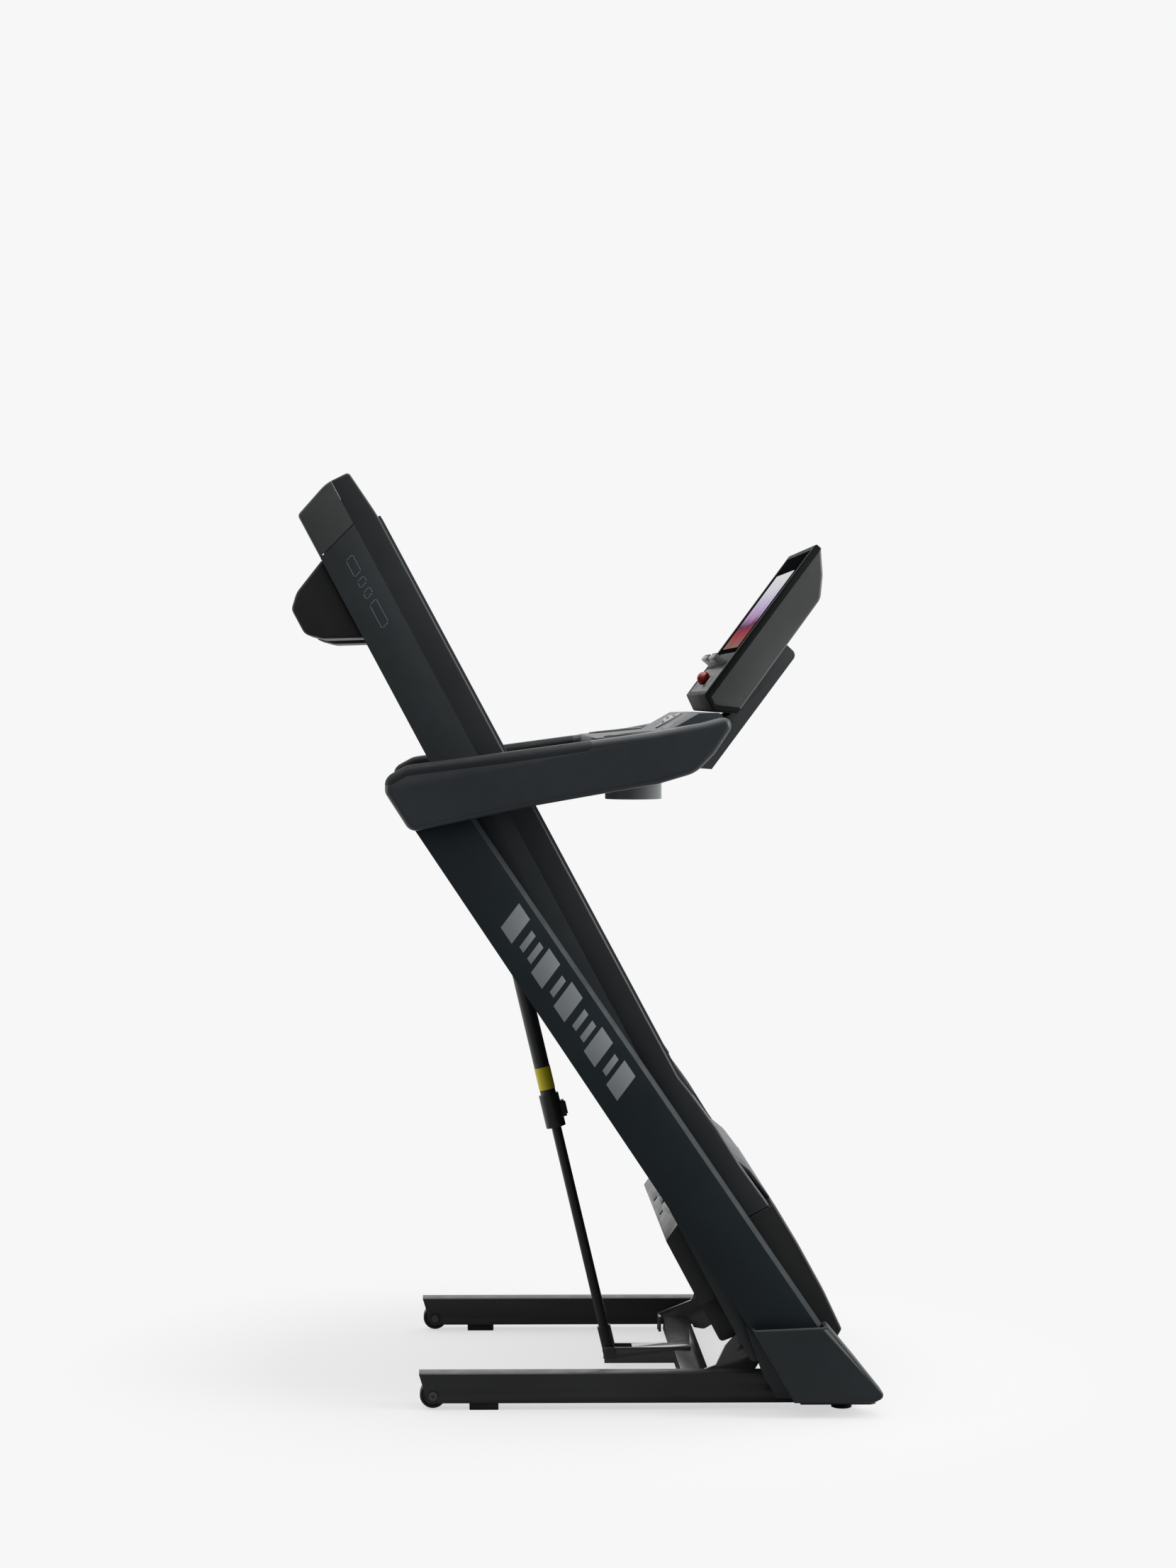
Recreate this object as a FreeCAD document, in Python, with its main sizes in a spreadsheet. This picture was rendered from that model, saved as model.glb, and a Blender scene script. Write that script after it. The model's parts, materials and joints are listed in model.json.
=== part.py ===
import FreeCAD, Part
import Sketcher
import math
import os
from FreeCAD import Placement, Rotation, Vector

# Folding treadmill, stored with its deck up.
# Millimetres. +X is the front (the console end), +Y the user's left, +Z up.
# The origin is on the floor, under the middle of the whole machine.

DIMENSIONS = {
    # base frame
    "rail_inner": 315, "rail_outer": 355, "rail_bottom": 12, "rail_top": 63,
    "rail_wall": 2.5, "rail_rear": -292, "rail_front": 480, "rail_rake": 15.6,
    "pad_length": 51, "pad_rear": -203.6, "front_foot_radius": 18, "front_foot_x": 450,
    "front_tube_size": 40,
    "wheel_radius": 23, "wheel_width": 26, "wheel_x": -267.6, "wheel_z": 25, "axle_radius": 4,
    # uprights and their covers
    "upright_outer": 407, "upright_wall": 3, "cover_outer": 428, "cover_step": 384, "cover_wall": 3,
    "bolt_radius": 5, "bolt_head_radius": 9,
    # handrails and console
    "handrail_inner": 356, "handrail_outer": 450, "handrail_wall": 3,
    "cup_radius": 50, "cup_wall": 2.5, "cup_x": 90, "cup_y": 295, "cup_bottom": 1068, "cup_lip": 2.5,
    "vent_x": 174.3, "vent_radius": 28,
    "console_half": 215, "console_tilt": 53.3, "console_x": 223.6, "console_z": 1252.3,
    "console_length": 337, "bezel_depth": 12, "console_depth": 67.6,
    "glass_half": 196, "screen_half": 155, "ledge_half": 137,
    "spine_half": 80, "button_radius": 11,
    # fold pivot, lift frame and strut
    "pivot_x": 300, "pivot_z": 110, "fold_angle": 62,
    "plate_inner": 285, "plate_thickness": 6, "pin_radius": 8, "pin_clearance": 0.05,
    "lift_tube_rear": 179.4, "lift_tube_length": 49.5, "lift_tube_bottom": 8, "lift_tube_height": 25,
    "anchor_x": 60, "anchor_z": 28, "channel_inner": 17, "channel_wall": 3,
    "strut_folded": 921.5, "strut_pin_radius": 6, "rod_radius": 9.25, "rod_length": 640,
    "tube_radius": 14.5, "tube_start": 434.5, "collar_radius": 18.5, "collar_length": 62,
    # deck, drawn flat from the fold pivot
    "deck_half": 345, "frame_inner": 305, "frame_bottom": -22, "frame_top": 58,
    "frame_wall": 3, "foot_rail_inner": 268, "foot_rail_top": 101.5,
    "insert_rise": 4.5, "seam_back": 204, "pan_half": 270, "tray_half": 311, "pan_wall": 3,
    "belt_half": 254, "belt_thickness": 2, "roller_height": 69, "roller_radius": 22.6,
    "roller_gap": 0.4, "front_roller_back": 260, "rear_roller_back": 1637, "shaft_radius": 8,
    "board_half": 300, "board_bottom": 72, "board_thickness": 19,
    "member_bottom": 8, "member_height": 30, "member_width": 40,
    "motor_back": 105, "motor_height": 45, "motor_radius": 52, "flywheel_radius": 60,
    "motor_pulley_radius": 12, "roller_pulley_radius": 22, "belt_plane": 262, "belt_plane_width": 12,
    "leg_inner": 160, "leg_outer": 335,
}

doc = FreeCAD.newDocument("treadmill")
sheet = doc.addObject("Spreadsheet::Sheet", "Sizes")
for row_number, (alias, number) in enumerate(DIMENSIONS.items(), start=1):
    sheet.set(f"A{row_number}", alias)
    sheet.set(f"B{row_number}", str(number))
    sheet.setAlias(f"B{row_number}", alias)
doc.recompute()

nodes = []
SIDES = (("left", 1), ("right", -1))
AT_ORIGIN = Placement()
ACROSS = Rotation(Vector(1, 0, 0), -90)      # turns a cylinder's axis from Z to Y


def size(alias):
    return float(sheet.get(alias))


# ---------------------------------------------------------------- drawing helpers

def at(x, y, z, turn=Rotation()):
    return Placement(Vector(x, y, z), turn)


def bind(piece, sizes):
    """Sets each property to a number, or to an expression on the sheet's cells."""
    for name, value in sizes.items():
        if isinstance(value, str):
            piece.setExpression(name, value)
        else:
            setattr(piece, name, value)


def box(place, length, width, height):
    piece = doc.addObject("Part::Box", "block")
    bind(piece, {"Length": length, "Width": width, "Height": height})
    piece.Placement = place
    return piece


def cylinder(place, radius, height):
    piece = doc.addObject("Part::Cylinder", "round")
    bind(piece, {"Radius": radius, "Height": height})
    piece.Placement = place
    return piece


def fuse(pieces):
    if len(pieces) == 1:
        return pieces[0]
    joined = doc.addObject("Part::MultiFuse", "joined")
    joined.Shapes = pieces
    joined.Refine = False
    return joined


def group(pieces):
    together = doc.addObject("Part::Compound", "group")
    together.Links = pieces
    return together


def cut(base, tools):
    result = doc.addObject("Part::Cut", "trimmed")
    result.Base = base
    result.Tool = fuse(tools)
    return result


def node(name, piece):
    piece.Label = name
    nodes.append(piece)
    return piece


def outline_curves(points):
    """Lines through the points (x, z), with an arc at each point given as (x, z, radius)."""
    count = len(points)
    corners = []
    for index, point in enumerate(points):
        here = Vector(point[0], point[1], 0)
        if len(point) == 2:
            corners.append((here, None, here))
            continue
        before = (Vector(*points[index - 1][:2], 0) - here).normalize()
        after = (Vector(*points[(index + 1) % count][:2], 0) - here).normalize()
        half_angle = before.getAngle(after) / 2
        reach = point[2] / math.tan(half_angle)
        middle = (before + after).normalize()
        peak = here + middle * (point[2] / math.sin(half_angle) - point[2])
        corners.append((here + before * reach, peak, here + after * reach))
    curves = []
    for index, (entry, peak, leave) in enumerate(corners):
        if peak is not None:
            curves.append(Part.Arc(entry, peak, leave))
        next_entry = corners[(index + 1) % count][0]
        if (next_entry - leave).Length > 1e-6:
            curves.append(Part.LineSegment(leave, next_entry))
    return curves


class Loop(list):
    """Curves that already run in order, as opposed to a list of points."""


def curves_of(outline):
    """The curves of a Loop, of a list of points or of a single circle."""
    if isinstance(outline, Loop):
        return outline
    if isinstance(outline, list):
        return outline_curves(outline)
    return [outline]


def side_sketch(body, curves, offset):
    """A closed sketch on the body's XZ plane, moved by offset towards -Y."""
    plane = next(item for item in body.Origin.OriginFeatures if item.Role == "XZ_Plane")
    sketch = body.newObject("Sketcher::SketchObject", "side_sketch")
    sketch.AttachmentSupport = [(plane, "")]
    sketch.MapMode = "FlatFace"
    sketch.AttachmentOffset = at(0, 0, 0)
    sketch.setExpression("AttachmentOffset.Base.z", offset)
    sketch.addGeometry(curves, False)
    last = len(curves) - 1
    if last > 0:
        for index in range(last + 1):
            following = 0 if index == last else index + 1
            sketch.addConstraint(joint_of(curves, index, following))
    return sketch


def joint_of(curves, index, following):
    """The constraint that ties the end of one curve to the start of the next."""
    ends = []
    for number, wanted in ((index, "end"), (following, "start")):
        curve = curves[number]
        point_role = {"start": 1, "end": 2}[wanted]
        if isinstance(curve, Part.Arc) and curve.toShape().Curve.Axis.z < 0:
            point_role = 3 - point_role
        ends.extend([number, point_role])
    return Sketcher.Constraint("Coincident", *ends)


def new_body(place=AT_ORIGIN):
    body = doc.addObject("PartDesign::Body", "piece")
    body.Placement = place
    return body


def pad(body, outline, inner, outer, side):
    """Adds the outline between |y| = inner and outer; side 0 spans both sides of the middle."""
    offset = {1: f"-({outer})", -1: f"{inner}", 0: f"-({outer})"}[side]
    feature = body.newObject("PartDesign::Pad", "pad")
    feature.Profile = side_sketch(body, curves_of(outline), offset)
    length = f"2 * ({outer})" if side == 0 else f"({outer}) - ({inner})"
    feature.setExpression("Length", length)
    return feature


def pocket(body, outline, inner, outer, side):
    """Cuts the outline between |y| = inner and outer; side 0 spans both sides of the middle."""
    offset = {1: f"-({inner})", -1: f"{outer}", 0: f"{outer}"}[side]
    feature = body.newObject("PartDesign::Pocket", "pocket")
    feature.Profile = side_sketch(body, curves_of(outline), offset)
    length = f"2 * ({outer})" if side == 0 else f"({outer}) - ({inner})"
    feature.setExpression("Length", length)
    return feature


def disc(x, z, radius):
    return Part.Circle(Vector(x, z, 0), Vector(0, 0, 1), radius)


def soften(body, radius, wanted, kind="Fillet"):
    """Rounds or chamfers the edges of the body's tip for which wanted(edge) holds."""
    doc.recompute()
    tip = body.Tip
    names = [f"Edge{number}" for number, edge in enumerate(tip.Shape.Edges, start=1) if wanted(edge)]
    feature = body.newObject(f"PartDesign::{kind}", kind.lower())
    feature.Base = (tip, names)
    bind(feature, {"Radius" if kind == "Fillet" else "Size": radius})
    return feature


def on_face(edge, y):
    return all(abs(vertex.Point.y - y) < 0.01 for vertex in edge.Vertexes)


def rectangle(x0, z0, x1, z1, radius=0):
    corners = [(x0, z0), (x1, z0), (x1, z1), (x0, z1)]
    return [corner + (radius,) for corner in corners] if radius else corners


# ---------------------------------------------------------------- base frame

def base_rails():
    x0, x1 = size("rail_rear"), size("rail_front")
    z0, z1 = size("rail_bottom"), size("rail_top")
    wall, rake = size("rail_wall"), size("rail_rake")
    outer = [(x0 + rake, z0), (x1, z0), (x1, z1), (x0, z1)]
    inside = rectangle(x0 - 20, z0 + wall, x1 + 10, z1 - wall)
    slot = rectangle(x0 - 20, z0 - 5, size("wheel_x") + 32, z0 + wall + 5)
    slot_inner = "Sizes.rail_inner + 5"
    slot_outer = "Sizes.rail_outer - 5"
    for name, side in SIDES:
        body = new_body()
        pad(body, outer, "Sizes.rail_inner", "Sizes.rail_outer", side)
        pocket(body, inside, "Sizes.rail_inner + Sizes.rail_wall",
               "Sizes.rail_outer - Sizes.rail_wall", side)
        pocket(body, slot, slot_inner, slot_outer, side)
        axle = disc(size("wheel_x"), size("wheel_z"), size("axle_radius"))
        pocket(body, axle, "Sizes.rail_inner - 5", "Sizes.rail_outer + 5", side)
        for x, z in UPRIGHT_BOLTS:
            pocket(body, disc(x, z, size("bolt_radius")), "Sizes.rail_outer - 6",
                   "Sizes.rail_outer + 5", side)
        node(f"base_rail_{name}", body)


def base_fittings():
    tube = size("front_tube_size")
    wall = size("rail_wall")
    place = at(size("front_foot_x") - tube / 2, -size("rail_inner"), size("rail_bottom") + 2)
    tube_outside = box(place, "Sizes.front_tube_size", "2 * Sizes.rail_inner", "Sizes.front_tube_size")
    hollow = box(place * at(wall, -5, wall), "Sizes.front_tube_size - 2 * Sizes.rail_wall",
                 "2 * Sizes.rail_inner + 10", "Sizes.front_tube_size - 2 * Sizes.rail_wall")
    node("base_front_tube", cut(tube_outside, [hollow]))

    pads = []
    middle = (size("rail_inner") + size("rail_outer")) / 2
    for _, side in SIDES:
        pads.append(box(at(size("pad_rear"), side * middle - 19, 0), "Sizes.pad_length", 38,
                        "Sizes.rail_bottom"))
        pads.append(cylinder(at(size("front_foot_x"), side * middle, 0), "Sizes.front_foot_radius",
                             "Sizes.rail_bottom"))
    node("rubber_feet", group(pads))

    bolts = []
    for _, side in SIDES:
        bolts.append(wheel_bolt(side))
        bolts.extend(upright_bolt(side, x, z) for x, z in UPRIGHT_BOLTS)
    node("frame_bolts", group(bolts))


def side_cylinder(side, inner, x, z, radius, length):
    """A cylinder along Y that starts at |y| = inner and runs outwards."""
    start = inner if side > 0 else -inner - length
    return cylinder(at(x, start, z, ACROSS), radius, length)


def wheel_bolt(side):
    x, z = size("wheel_x"), size("wheel_z")
    shaft = side_cylinder(side, size("rail_inner") - 4, x, z, "Sizes.axle_radius", 44)
    head = side_cylinder(side, size("rail_outer"), x, z, 7.5, 5)
    nut = side_cylinder(side, size("rail_inner") - 6, x, z, 7, 6)
    socket = side_cylinder(side, size("rail_outer") + 2, x, z, 3, 6)
    return cut(fuse([shaft, head, nut]), [socket])


def upright_bolt(side, x, z):
    face = size("rail_outer")
    wall = size("rail_wall")
    shaft = side_cylinder(side, face - wall - 3, x, z, "Sizes.bolt_radius", 12)
    inner_head = side_cylinder(side, face - wall - 6, x, z, "Sizes.bolt_head_radius", 6)
    outer_head = side_cylinder(side, face + size("upright_wall"), x, z, "Sizes.bolt_head_radius", 6)
    return fuse([shaft, inner_head, outer_head])


def wheels():
    middle = (size("rail_inner") + size("rail_outer")) / 2
    for name, side in SIDES:
        x, z = size("wheel_x"), size("wheel_z")
        start = middle - size("wheel_width") / 2
        body = new_body()
        pad(body, disc(x, z, size("wheel_radius")), f"{start}", f"{start} + Sizes.wheel_width", side)
        bore = size("axle_radius") + size("pin_clearance")
        pocket(body, disc(x, z, bore), f"{start} - 5", f"{start} + Sizes.wheel_width + 5", side)
        soften(body, 3, lambda edge: len(edge.Vertexes) == 1 and edge.Curve.Radius > 20)
        node(f"wheel_{name}", body)


# ---------------------------------------------------------------- uprights

UPRIGHT_REAR = ((-292.9, 1013.9), (281.3, 153.9))     # two points on the rear edge
UPRIGHT_FRONT = ((-188.6, 1035.3), (410.2, 154.9))    # two points on the front edge
UPRIGHT_BOLTS = ((388, 40), (436, 40))
UPRIGHT_FOOT = 20
UPRIGHT_TOP = 1085


def edge_at(line, z):
    """The x of a leaning edge at height z."""
    (x0, z0), (x1, z1) = line
    return x0 + (x1 - x0) * (z - z0) / (z1 - z0)


def upright_outline(low, high, grow=0.0):
    return [(edge_at(UPRIGHT_REAR, low) - grow, low), (edge_at(UPRIGHT_FRONT, low) + grow, low),
            (edge_at(UPRIGHT_FRONT, high) + grow, high), (edge_at(UPRIGHT_REAR, high) - grow, high)]


def uprights():
    wall = size("upright_wall")
    outer = upright_outline(UPRIGHT_FOOT, UPRIGHT_TOP)
    slope_wall = wall * 1.2
    inside = upright_outline(UPRIGHT_FOOT - 10, UPRIGHT_TOP + 10, -slope_wall)
    for name, side in SIDES:
        body = new_body()
        pad(body, outer, "Sizes.rail_outer", "Sizes.upright_outer", side)
        outer_y = side * size("upright_outer")
        soften(body, 8, lambda edge: on_face(edge, outer_y) and is_long_front(edge), "Chamfer")
        pocket(body, inside, "Sizes.rail_outer + Sizes.upright_wall",
               "Sizes.upright_outer - Sizes.upright_wall - 6", side)
        for x, z in UPRIGHT_BOLTS:
            pocket(body, disc(x, z, size("bolt_radius")), "Sizes.rail_outer - 5",
                   "Sizes.rail_outer + 6", side)
        node(f"upright_{name}", body)


def is_long_front(edge):
    """True for the long leaning edge at the front of an upright."""
    middle = edge.CenterOfMass
    return edge.Length > 500 and abs(middle.x - edge_at(UPRIGHT_FRONT, middle.z)) < 1


FOOT_COVER = [(285.4, 153.5), (405, 158.3), (417, 160, 5), (464.5, 102.5, 250), (516.6, 37, 9),
              (494.5, 26.5, 9), (357.9, 26.5)]
FOOT_COVER_INNER = [(279, 150), (400, 150), (470, 60), (470, 27), (332, 27), (308, 66)]


def foot_covers():
    covers = []
    open_top = [(292, 190), (412, 190), (409, 155), (458, 99), (503, 40), (491, 30), (361, 30),
                (289, 155)]
    inner_room = [(277, 170), (400, 170), (467, 60), (467, 24), (336, 24), (312.5, 66)]
    for _, side in SIDES:
        body = new_body()
        pad(body, FOOT_COVER, "Sizes.cover_step", "Sizes.cover_outer", side)
        outer_y = side * size("cover_outer")
        soften(body, 5, lambda edge: on_face(edge, outer_y))
        pad(body, FOOT_COVER_INNER, "Sizes.rail_outer + 0.5", "Sizes.cover_step + 4", side)
        pocket(body, open_top, "Sizes.rail_outer - 5", "Sizes.cover_outer - Sizes.cover_wall", side)
        pocket(body, inner_room, "Sizes.rail_outer - 5", "Sizes.cover_step", side)
        upright_room = upright_outline(UPRIGHT_FOOT - 2, 200, 0.3)
        pocket(body, upright_room, "Sizes.rail_outer - 5", "Sizes.upright_outer + 0.5", side)
        covers.append(body)
    node("foot_covers", group(covers))


# ---------------------------------------------------------------- handrails and console base

HANDRAIL = [(-303, 1016, 20), (-88.6, 1061), (125.4, 1098), (190, 1117, 60),
            (222, 1150), (252, 1195, 16), (246, 1214, 11), (204.4, 1203, 90), (118.4, 1187),
            (-138.6, 1152), (-308.6, 1130.5, 40), (-346.5, 1110, 20), (-346.5, 1084, 20)]
GRIP_FRONT = 9.4
BASE_TOP = ((22, 1176), (146, 1187.4), (202, 1219))     # corners of the console base's top
CONSOLE_BASE = [(22, 1134), (150, 1120), (199, 1126, 12), (221, 1150), (248, 1198, 14),
                (242, 1220, 10), BASE_TOP[2] + (8,), BASE_TOP[1] + (12,), BASE_TOP[0]]


def handrails():
    inside = [(-330, 1090), (-295, 1024), (-88.6, 1066), (31.4, 1086), (125.4, 1103),
              (183, 1121), (214, 1154), (238, 1190), (204.4, 1196), (118.4, 1181),
              (9.4, 1150), (-138.6, 1129), (-300, 1108)]
    room = upright_outline(980, UPRIGHT_TOP + 0.5, 0.5)
    line = [(-360, 1096), (-335, 1098), (-308.6, 1113), (-138.6, 1134.5),
            (GRIP_FRONT, 1156, 10), (GRIP_FRONT, 1230), (-360, 1230)]
    grips = []
    for name, side in SIDES:
        shell = handrail_solid(side)
        pocket(shell, inside, "Sizes.handrail_inner + Sizes.handrail_wall",
               "Sizes.handrail_outer - Sizes.handrail_wall - 4", side)
        pocket(shell, line, "Sizes.handrail_inner - 5", "Sizes.handrail_outer + 5", side)
        pocket(shell, room, "Sizes.handrail_inner - 5", "Sizes.upright_outer + 0.3", side)
        node(f"handrail_{name}", shell)
        cutter = new_body()
        pad(cutter, line, "Sizes.handrail_inner - 5", "Sizes.handrail_outer + 5", side)
        grip = doc.addObject("Part::Common", "grip")
        grip.Base = handrail_solid(side)
        grip.Tool = cutter
        grips.append(grip)
    node("handrail_grips", group(grips))


def handrail_solid(side):
    body = new_body()
    pad(body, HANDRAIL, "Sizes.handrail_inner", "Sizes.handrail_outer", side)
    outer_y = side * size("handrail_outer")
    inner_y = side * size("handrail_inner")
    soften(body, 11, lambda edge: on_face(edge, outer_y) or on_face(edge, inner_y))
    return body


def console_base():
    body = new_body()
    half = "Sizes.rail_outer + 0.5"
    pad(body, CONSOLE_BASE, "0", half, 0)
    inside = [(26, 1137), (150, 1124), (196, 1130), (217, 1152), (243, 1198), (239, 1215),
              (204, 1214), (148, 1182.5), (26, 1171.3)]
    pocket(body, inside, "0", "Sizes.rail_outer - 3", 0)
    for _, side in SIDES:
        round_pocket(body, size("cup_x"), side * size("cup_y"), size("cup_radius") + 0.3, 400)
    round_pocket(body, size("vent_x"), 0, size("vent_radius") - 6, 130)
    node("console_base", body)


def round_pocket(body, x, y, radius, depth):
    """A round hole straight down into the body from well above it."""
    plane = next(item for item in body.Origin.OriginFeatures if item.Role == "XY_Plane")
    sketch = body.newObject("Sketcher::SketchObject", "top_sketch")
    sketch.AttachmentSupport = [(plane, "")]
    sketch.MapMode = "FlatFace"
    sketch.AttachmentOffset = at(0, 0, 1300)
    sketch.addGeometry(disc(x, y, radius), False)
    hole = body.newObject("PartDesign::Pocket", "round_pocket")
    hole.Profile = sketch
    hole.Length = depth


def top_seat(first, second, x, y):
    """A frame on the console base's top, on the slope between two of its corners."""
    rise = (second[1] - first[1]) / (second[0] - first[0])
    slope = math.degrees(math.atan(rise))
    return at(x, y, first[1] + rise * (x - first[0]), Rotation(Vector(0, 1, 0), -slope))


def cup_holders():
    cups = []
    lip = size("cup_lip")
    for _, side in SIDES:
        place = at(size("cup_x"), side * size("cup_y"), size("cup_bottom"))
        seat = top_seat(BASE_TOP[0], BASE_TOP[1], size("cup_x"), side * size("cup_y"))
        outside = cylinder(place, "Sizes.cup_radius", 130)
        above = box(seat * at(-80, -80, lip), 160, 160, 60)
        ring = cylinder(seat, "Sizes.cup_radius + 2.5", "Sizes.cup_lip")
        room = cylinder(place * at(0, 0, size("cup_wall")), "Sizes.cup_radius - Sizes.cup_wall", 200)
        cups.append(cut(fuse([cut(outside, [above]), ring]), [room]))
    node("cup_holders", group(cups))


def sphere(place, radius):
    piece = doc.addObject("Part::Sphere", "ball")
    piece.Radius = radius
    piece.Placement = place
    return piece


def fan_parts():
    place = top_seat(BASE_TOP[1], BASE_TOP[2], size("vent_x"), 0)
    ball_radius, drop, slot_pitch, slot_width, slot_half = 34, 25, 12, 6, 15
    ball = sphere(place * at(0, 0, -drop), ball_radius)
    tools = [sphere(place * at(0, 0, -drop), ball_radius - 3)]
    tools.append(box(place * at(-80, -80, -119), 160, 160, 120))
    for step in range(-1, 2):
        tools.append(box(place * at(step * slot_pitch - slot_width / 2, -slot_half, -10),
                         slot_width, 2 * slot_half, 60))
    ring = cut(cylinder(place, "Sizes.vent_radius", 3), [cylinder(place * at(0, 0, -5), 20.5, 12)])
    node("fan_grille", fuse([cut(ball, tools), ring]))

    wheel_place = place * at(0, 0, -34)
    hub = cylinder(wheel_place, 12, 14)
    blades = []
    for number in range(7):
        turn = Rotation(Vector(0, 0, 1), number * 360 / 7) * Rotation(Vector(1, 0, 0), 35)
        blades.append(box(wheel_place * at(0, 0, 7, turn) * at(8, -6, -1), 22, 12, 2))
    wheel = fuse([hub] + blades)
    node("fan_wheel", cut(wheel, [cylinder(wheel_place * at(0, 0, -5), 2.05, 30)]))
    motor = cylinder(wheel_place * at(0, 0, -22), 16, 20)
    axle = cylinder(wheel_place * at(0, 0, -4), 2, 16)
    node("fan_motor", fuse([motor, axle]))


def console_spine():
    outline = [(207, 1118), (247.4, 1115), (405, 1326, 12), (385, 1345, 6), (371, 1338.6),
               (283.4, 1218.6), (253, 1206), (225, 1151), (203, 1126)]
    body = new_body()
    pad(body, outline, "0", "Sizes.spine_half", 0)
    soften(body, 5, lambda edge: abs(abs(edge.CenterOfMass.y) - size("spine_half")) < 0.01
           and edge.CenterOfMass.x > 240 and edge.Length > 30
           and edge.CenterOfMass.z < 1340 and abs(edge.CenterOfMass.x - 327) > 5)
    node("console_spine", body)


# ---------------------------------------------------------------- console head
# Drawn lying flat: x runs up the face, z points out of the face towards the user.

def console_place():
    turn = Rotation(Vector(0, 1, 0), -size("console_tilt"))
    return at(size("console_x"), 0, size("console_z"), turn)


def console_head():
    place = console_place()
    length, seam, depth = size("console_length"), size("bezel_depth"), size("console_depth")
    half = "Sizes.console_half"

    shell = new_body(place)
    pad(shell, [(3.4, -seam - 0.2), (335.6, -seam - 0.2), (320.3, -25), (299.5, -42.9, 30),
                (262.5, -65.2, 30), (18, -depth), (-5.4, -29.2)], "0", half, 0)
    soften(shell, 5, lambda edge: is_console_side(edge) and edge.Length > 20 and is_behind(edge, 40))
    pocket(shell, [(9, -9), (320, -9), (315, -25), (294, -40), (260, -60), (22, -63), (1, -29)],
           "0", "Sizes.console_half - 4", 0)
    node("console_shell", shell)

    bezel = new_body(place)
    pad(bezel, [(0, 0, 3), (length, 0, 3), (336, -seam), (3, -seam), (-5.8, -29.2), (17.6, -depth),
                (7.9, -depth, 3), (-15.9, -29.2, 5)], "0", half, 0)
    pocket(bezel, rectangle(96, -6, 326, 10), "0", "Sizes.glass_half + 1", 0)
    pocket(bezel, rectangle(10, -seam - 1, 310, -10), "0", "Sizes.console_half - 6", 0)
    pocket(bezel, rectangle(8, -4, 62, 10), "0", "Sizes.glass_half + 1", 0)
    pocket(bezel, rectangle(12.5, -seam - 1, 57.5, 10), "0", "Sizes.glass_half - 4", 0)
    node("console_bezel", bezel)

    glass = new_body(place)
    pad(glass, rectangle(96.5, -3, 325.5, -1), "0", "Sizes.glass_half", 0)
    node("screen_glass", glass)

    screen = new_body(place)
    pad(screen, rectangle(104, -5.9, 287, -3.1), "0", "Sizes.screen_half", 0)
    node("display_panel", screen)

    board = new_body(place)
    pad(board, rectangle(90, -34, 250, -32), "0", "120", 0)
    node("console_board", board)


def is_console_side(edge):
    return abs(abs(edge.CenterOfMass.y) - size("console_half")) < 0.01


def is_behind(edge, depth):
    """True when an edge of the console head lies deeper than depth behind its face."""
    return edge.CenterOfMass.z < -depth


BUTTONS = {"start_button": (34, -58), "stop_button": (34, 58),
           "speed_up_button": (44, -128), "speed_down_button": (22, -128),
           "incline_up_button": (44, 128), "incline_down_button": (22, 128)}
KEY_X = 34
BUTTON_SINK = 6.0
BUTTON_HEIGHT = 5.5


def button_radius(name):
    return size("button_radius") * (1.0 if name.startswith("st") else 0.8)


def control_parts():
    place = console_place()
    plate = box(place * at(8.5, -size("glass_half"), -3.9), 53, "2 * Sizes.glass_half", 2.9)
    holes = [cylinder(place * at(x, y, -10), button_radius(name) + 0.4, 20)
             for name, (x, y) in BUTTONS.items()]
    holes.append(cylinder(place * at(KEY_X, 0, -10), 10.4, 20))
    node("control_panel", cut(plate, holes))
    for name, (x, y) in BUTTONS.items():
        cap = cylinder(place * at(x, y, -BUTTON_SINK), button_radius(name), BUTTON_HEIGHT)
        node(name, cap)

    stem = cylinder(place * at(KEY_X, 0, -9), 10, 12)
    dome = sphere(place * at(KEY_X, 0, 5), 13)
    waste = box(place * at(KEY_X - 20, -20, -40), 40, 40, 40.5)
    node("safety_key", fuse([cut(dome, [waste]), stem]))

    ledge = new_body(place)
    pad(ledge, [(66, 0), (77, 0), (77, 22.5, 2), (67.5, 22.5, 2)], "0", "Sizes.ledge_half", 0)
    pocket(ledge, rectangle(60, 14, 80, 30), "0", "24", 0)
    node("tablet_ledge", ledge)


# ---------------------------------------------------------------- lift frame and strut

LIFT_PLATE = [(168.4, 8), (174, 8), (174, 20), (236, 20), (240, 12), (260, 8.5, 14), (280, 20, 12),
              (330, 100, 20), (318, 134, 18), (286, 134, 18), (250.4, 98.6), (233.9, 64.5),
              (168.4, 40)]
FLANGE_WIDTH = 28
CHANNEL_START = 49.4
CHANNEL_OPEN = 52
WELD_LAP = 1


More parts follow.
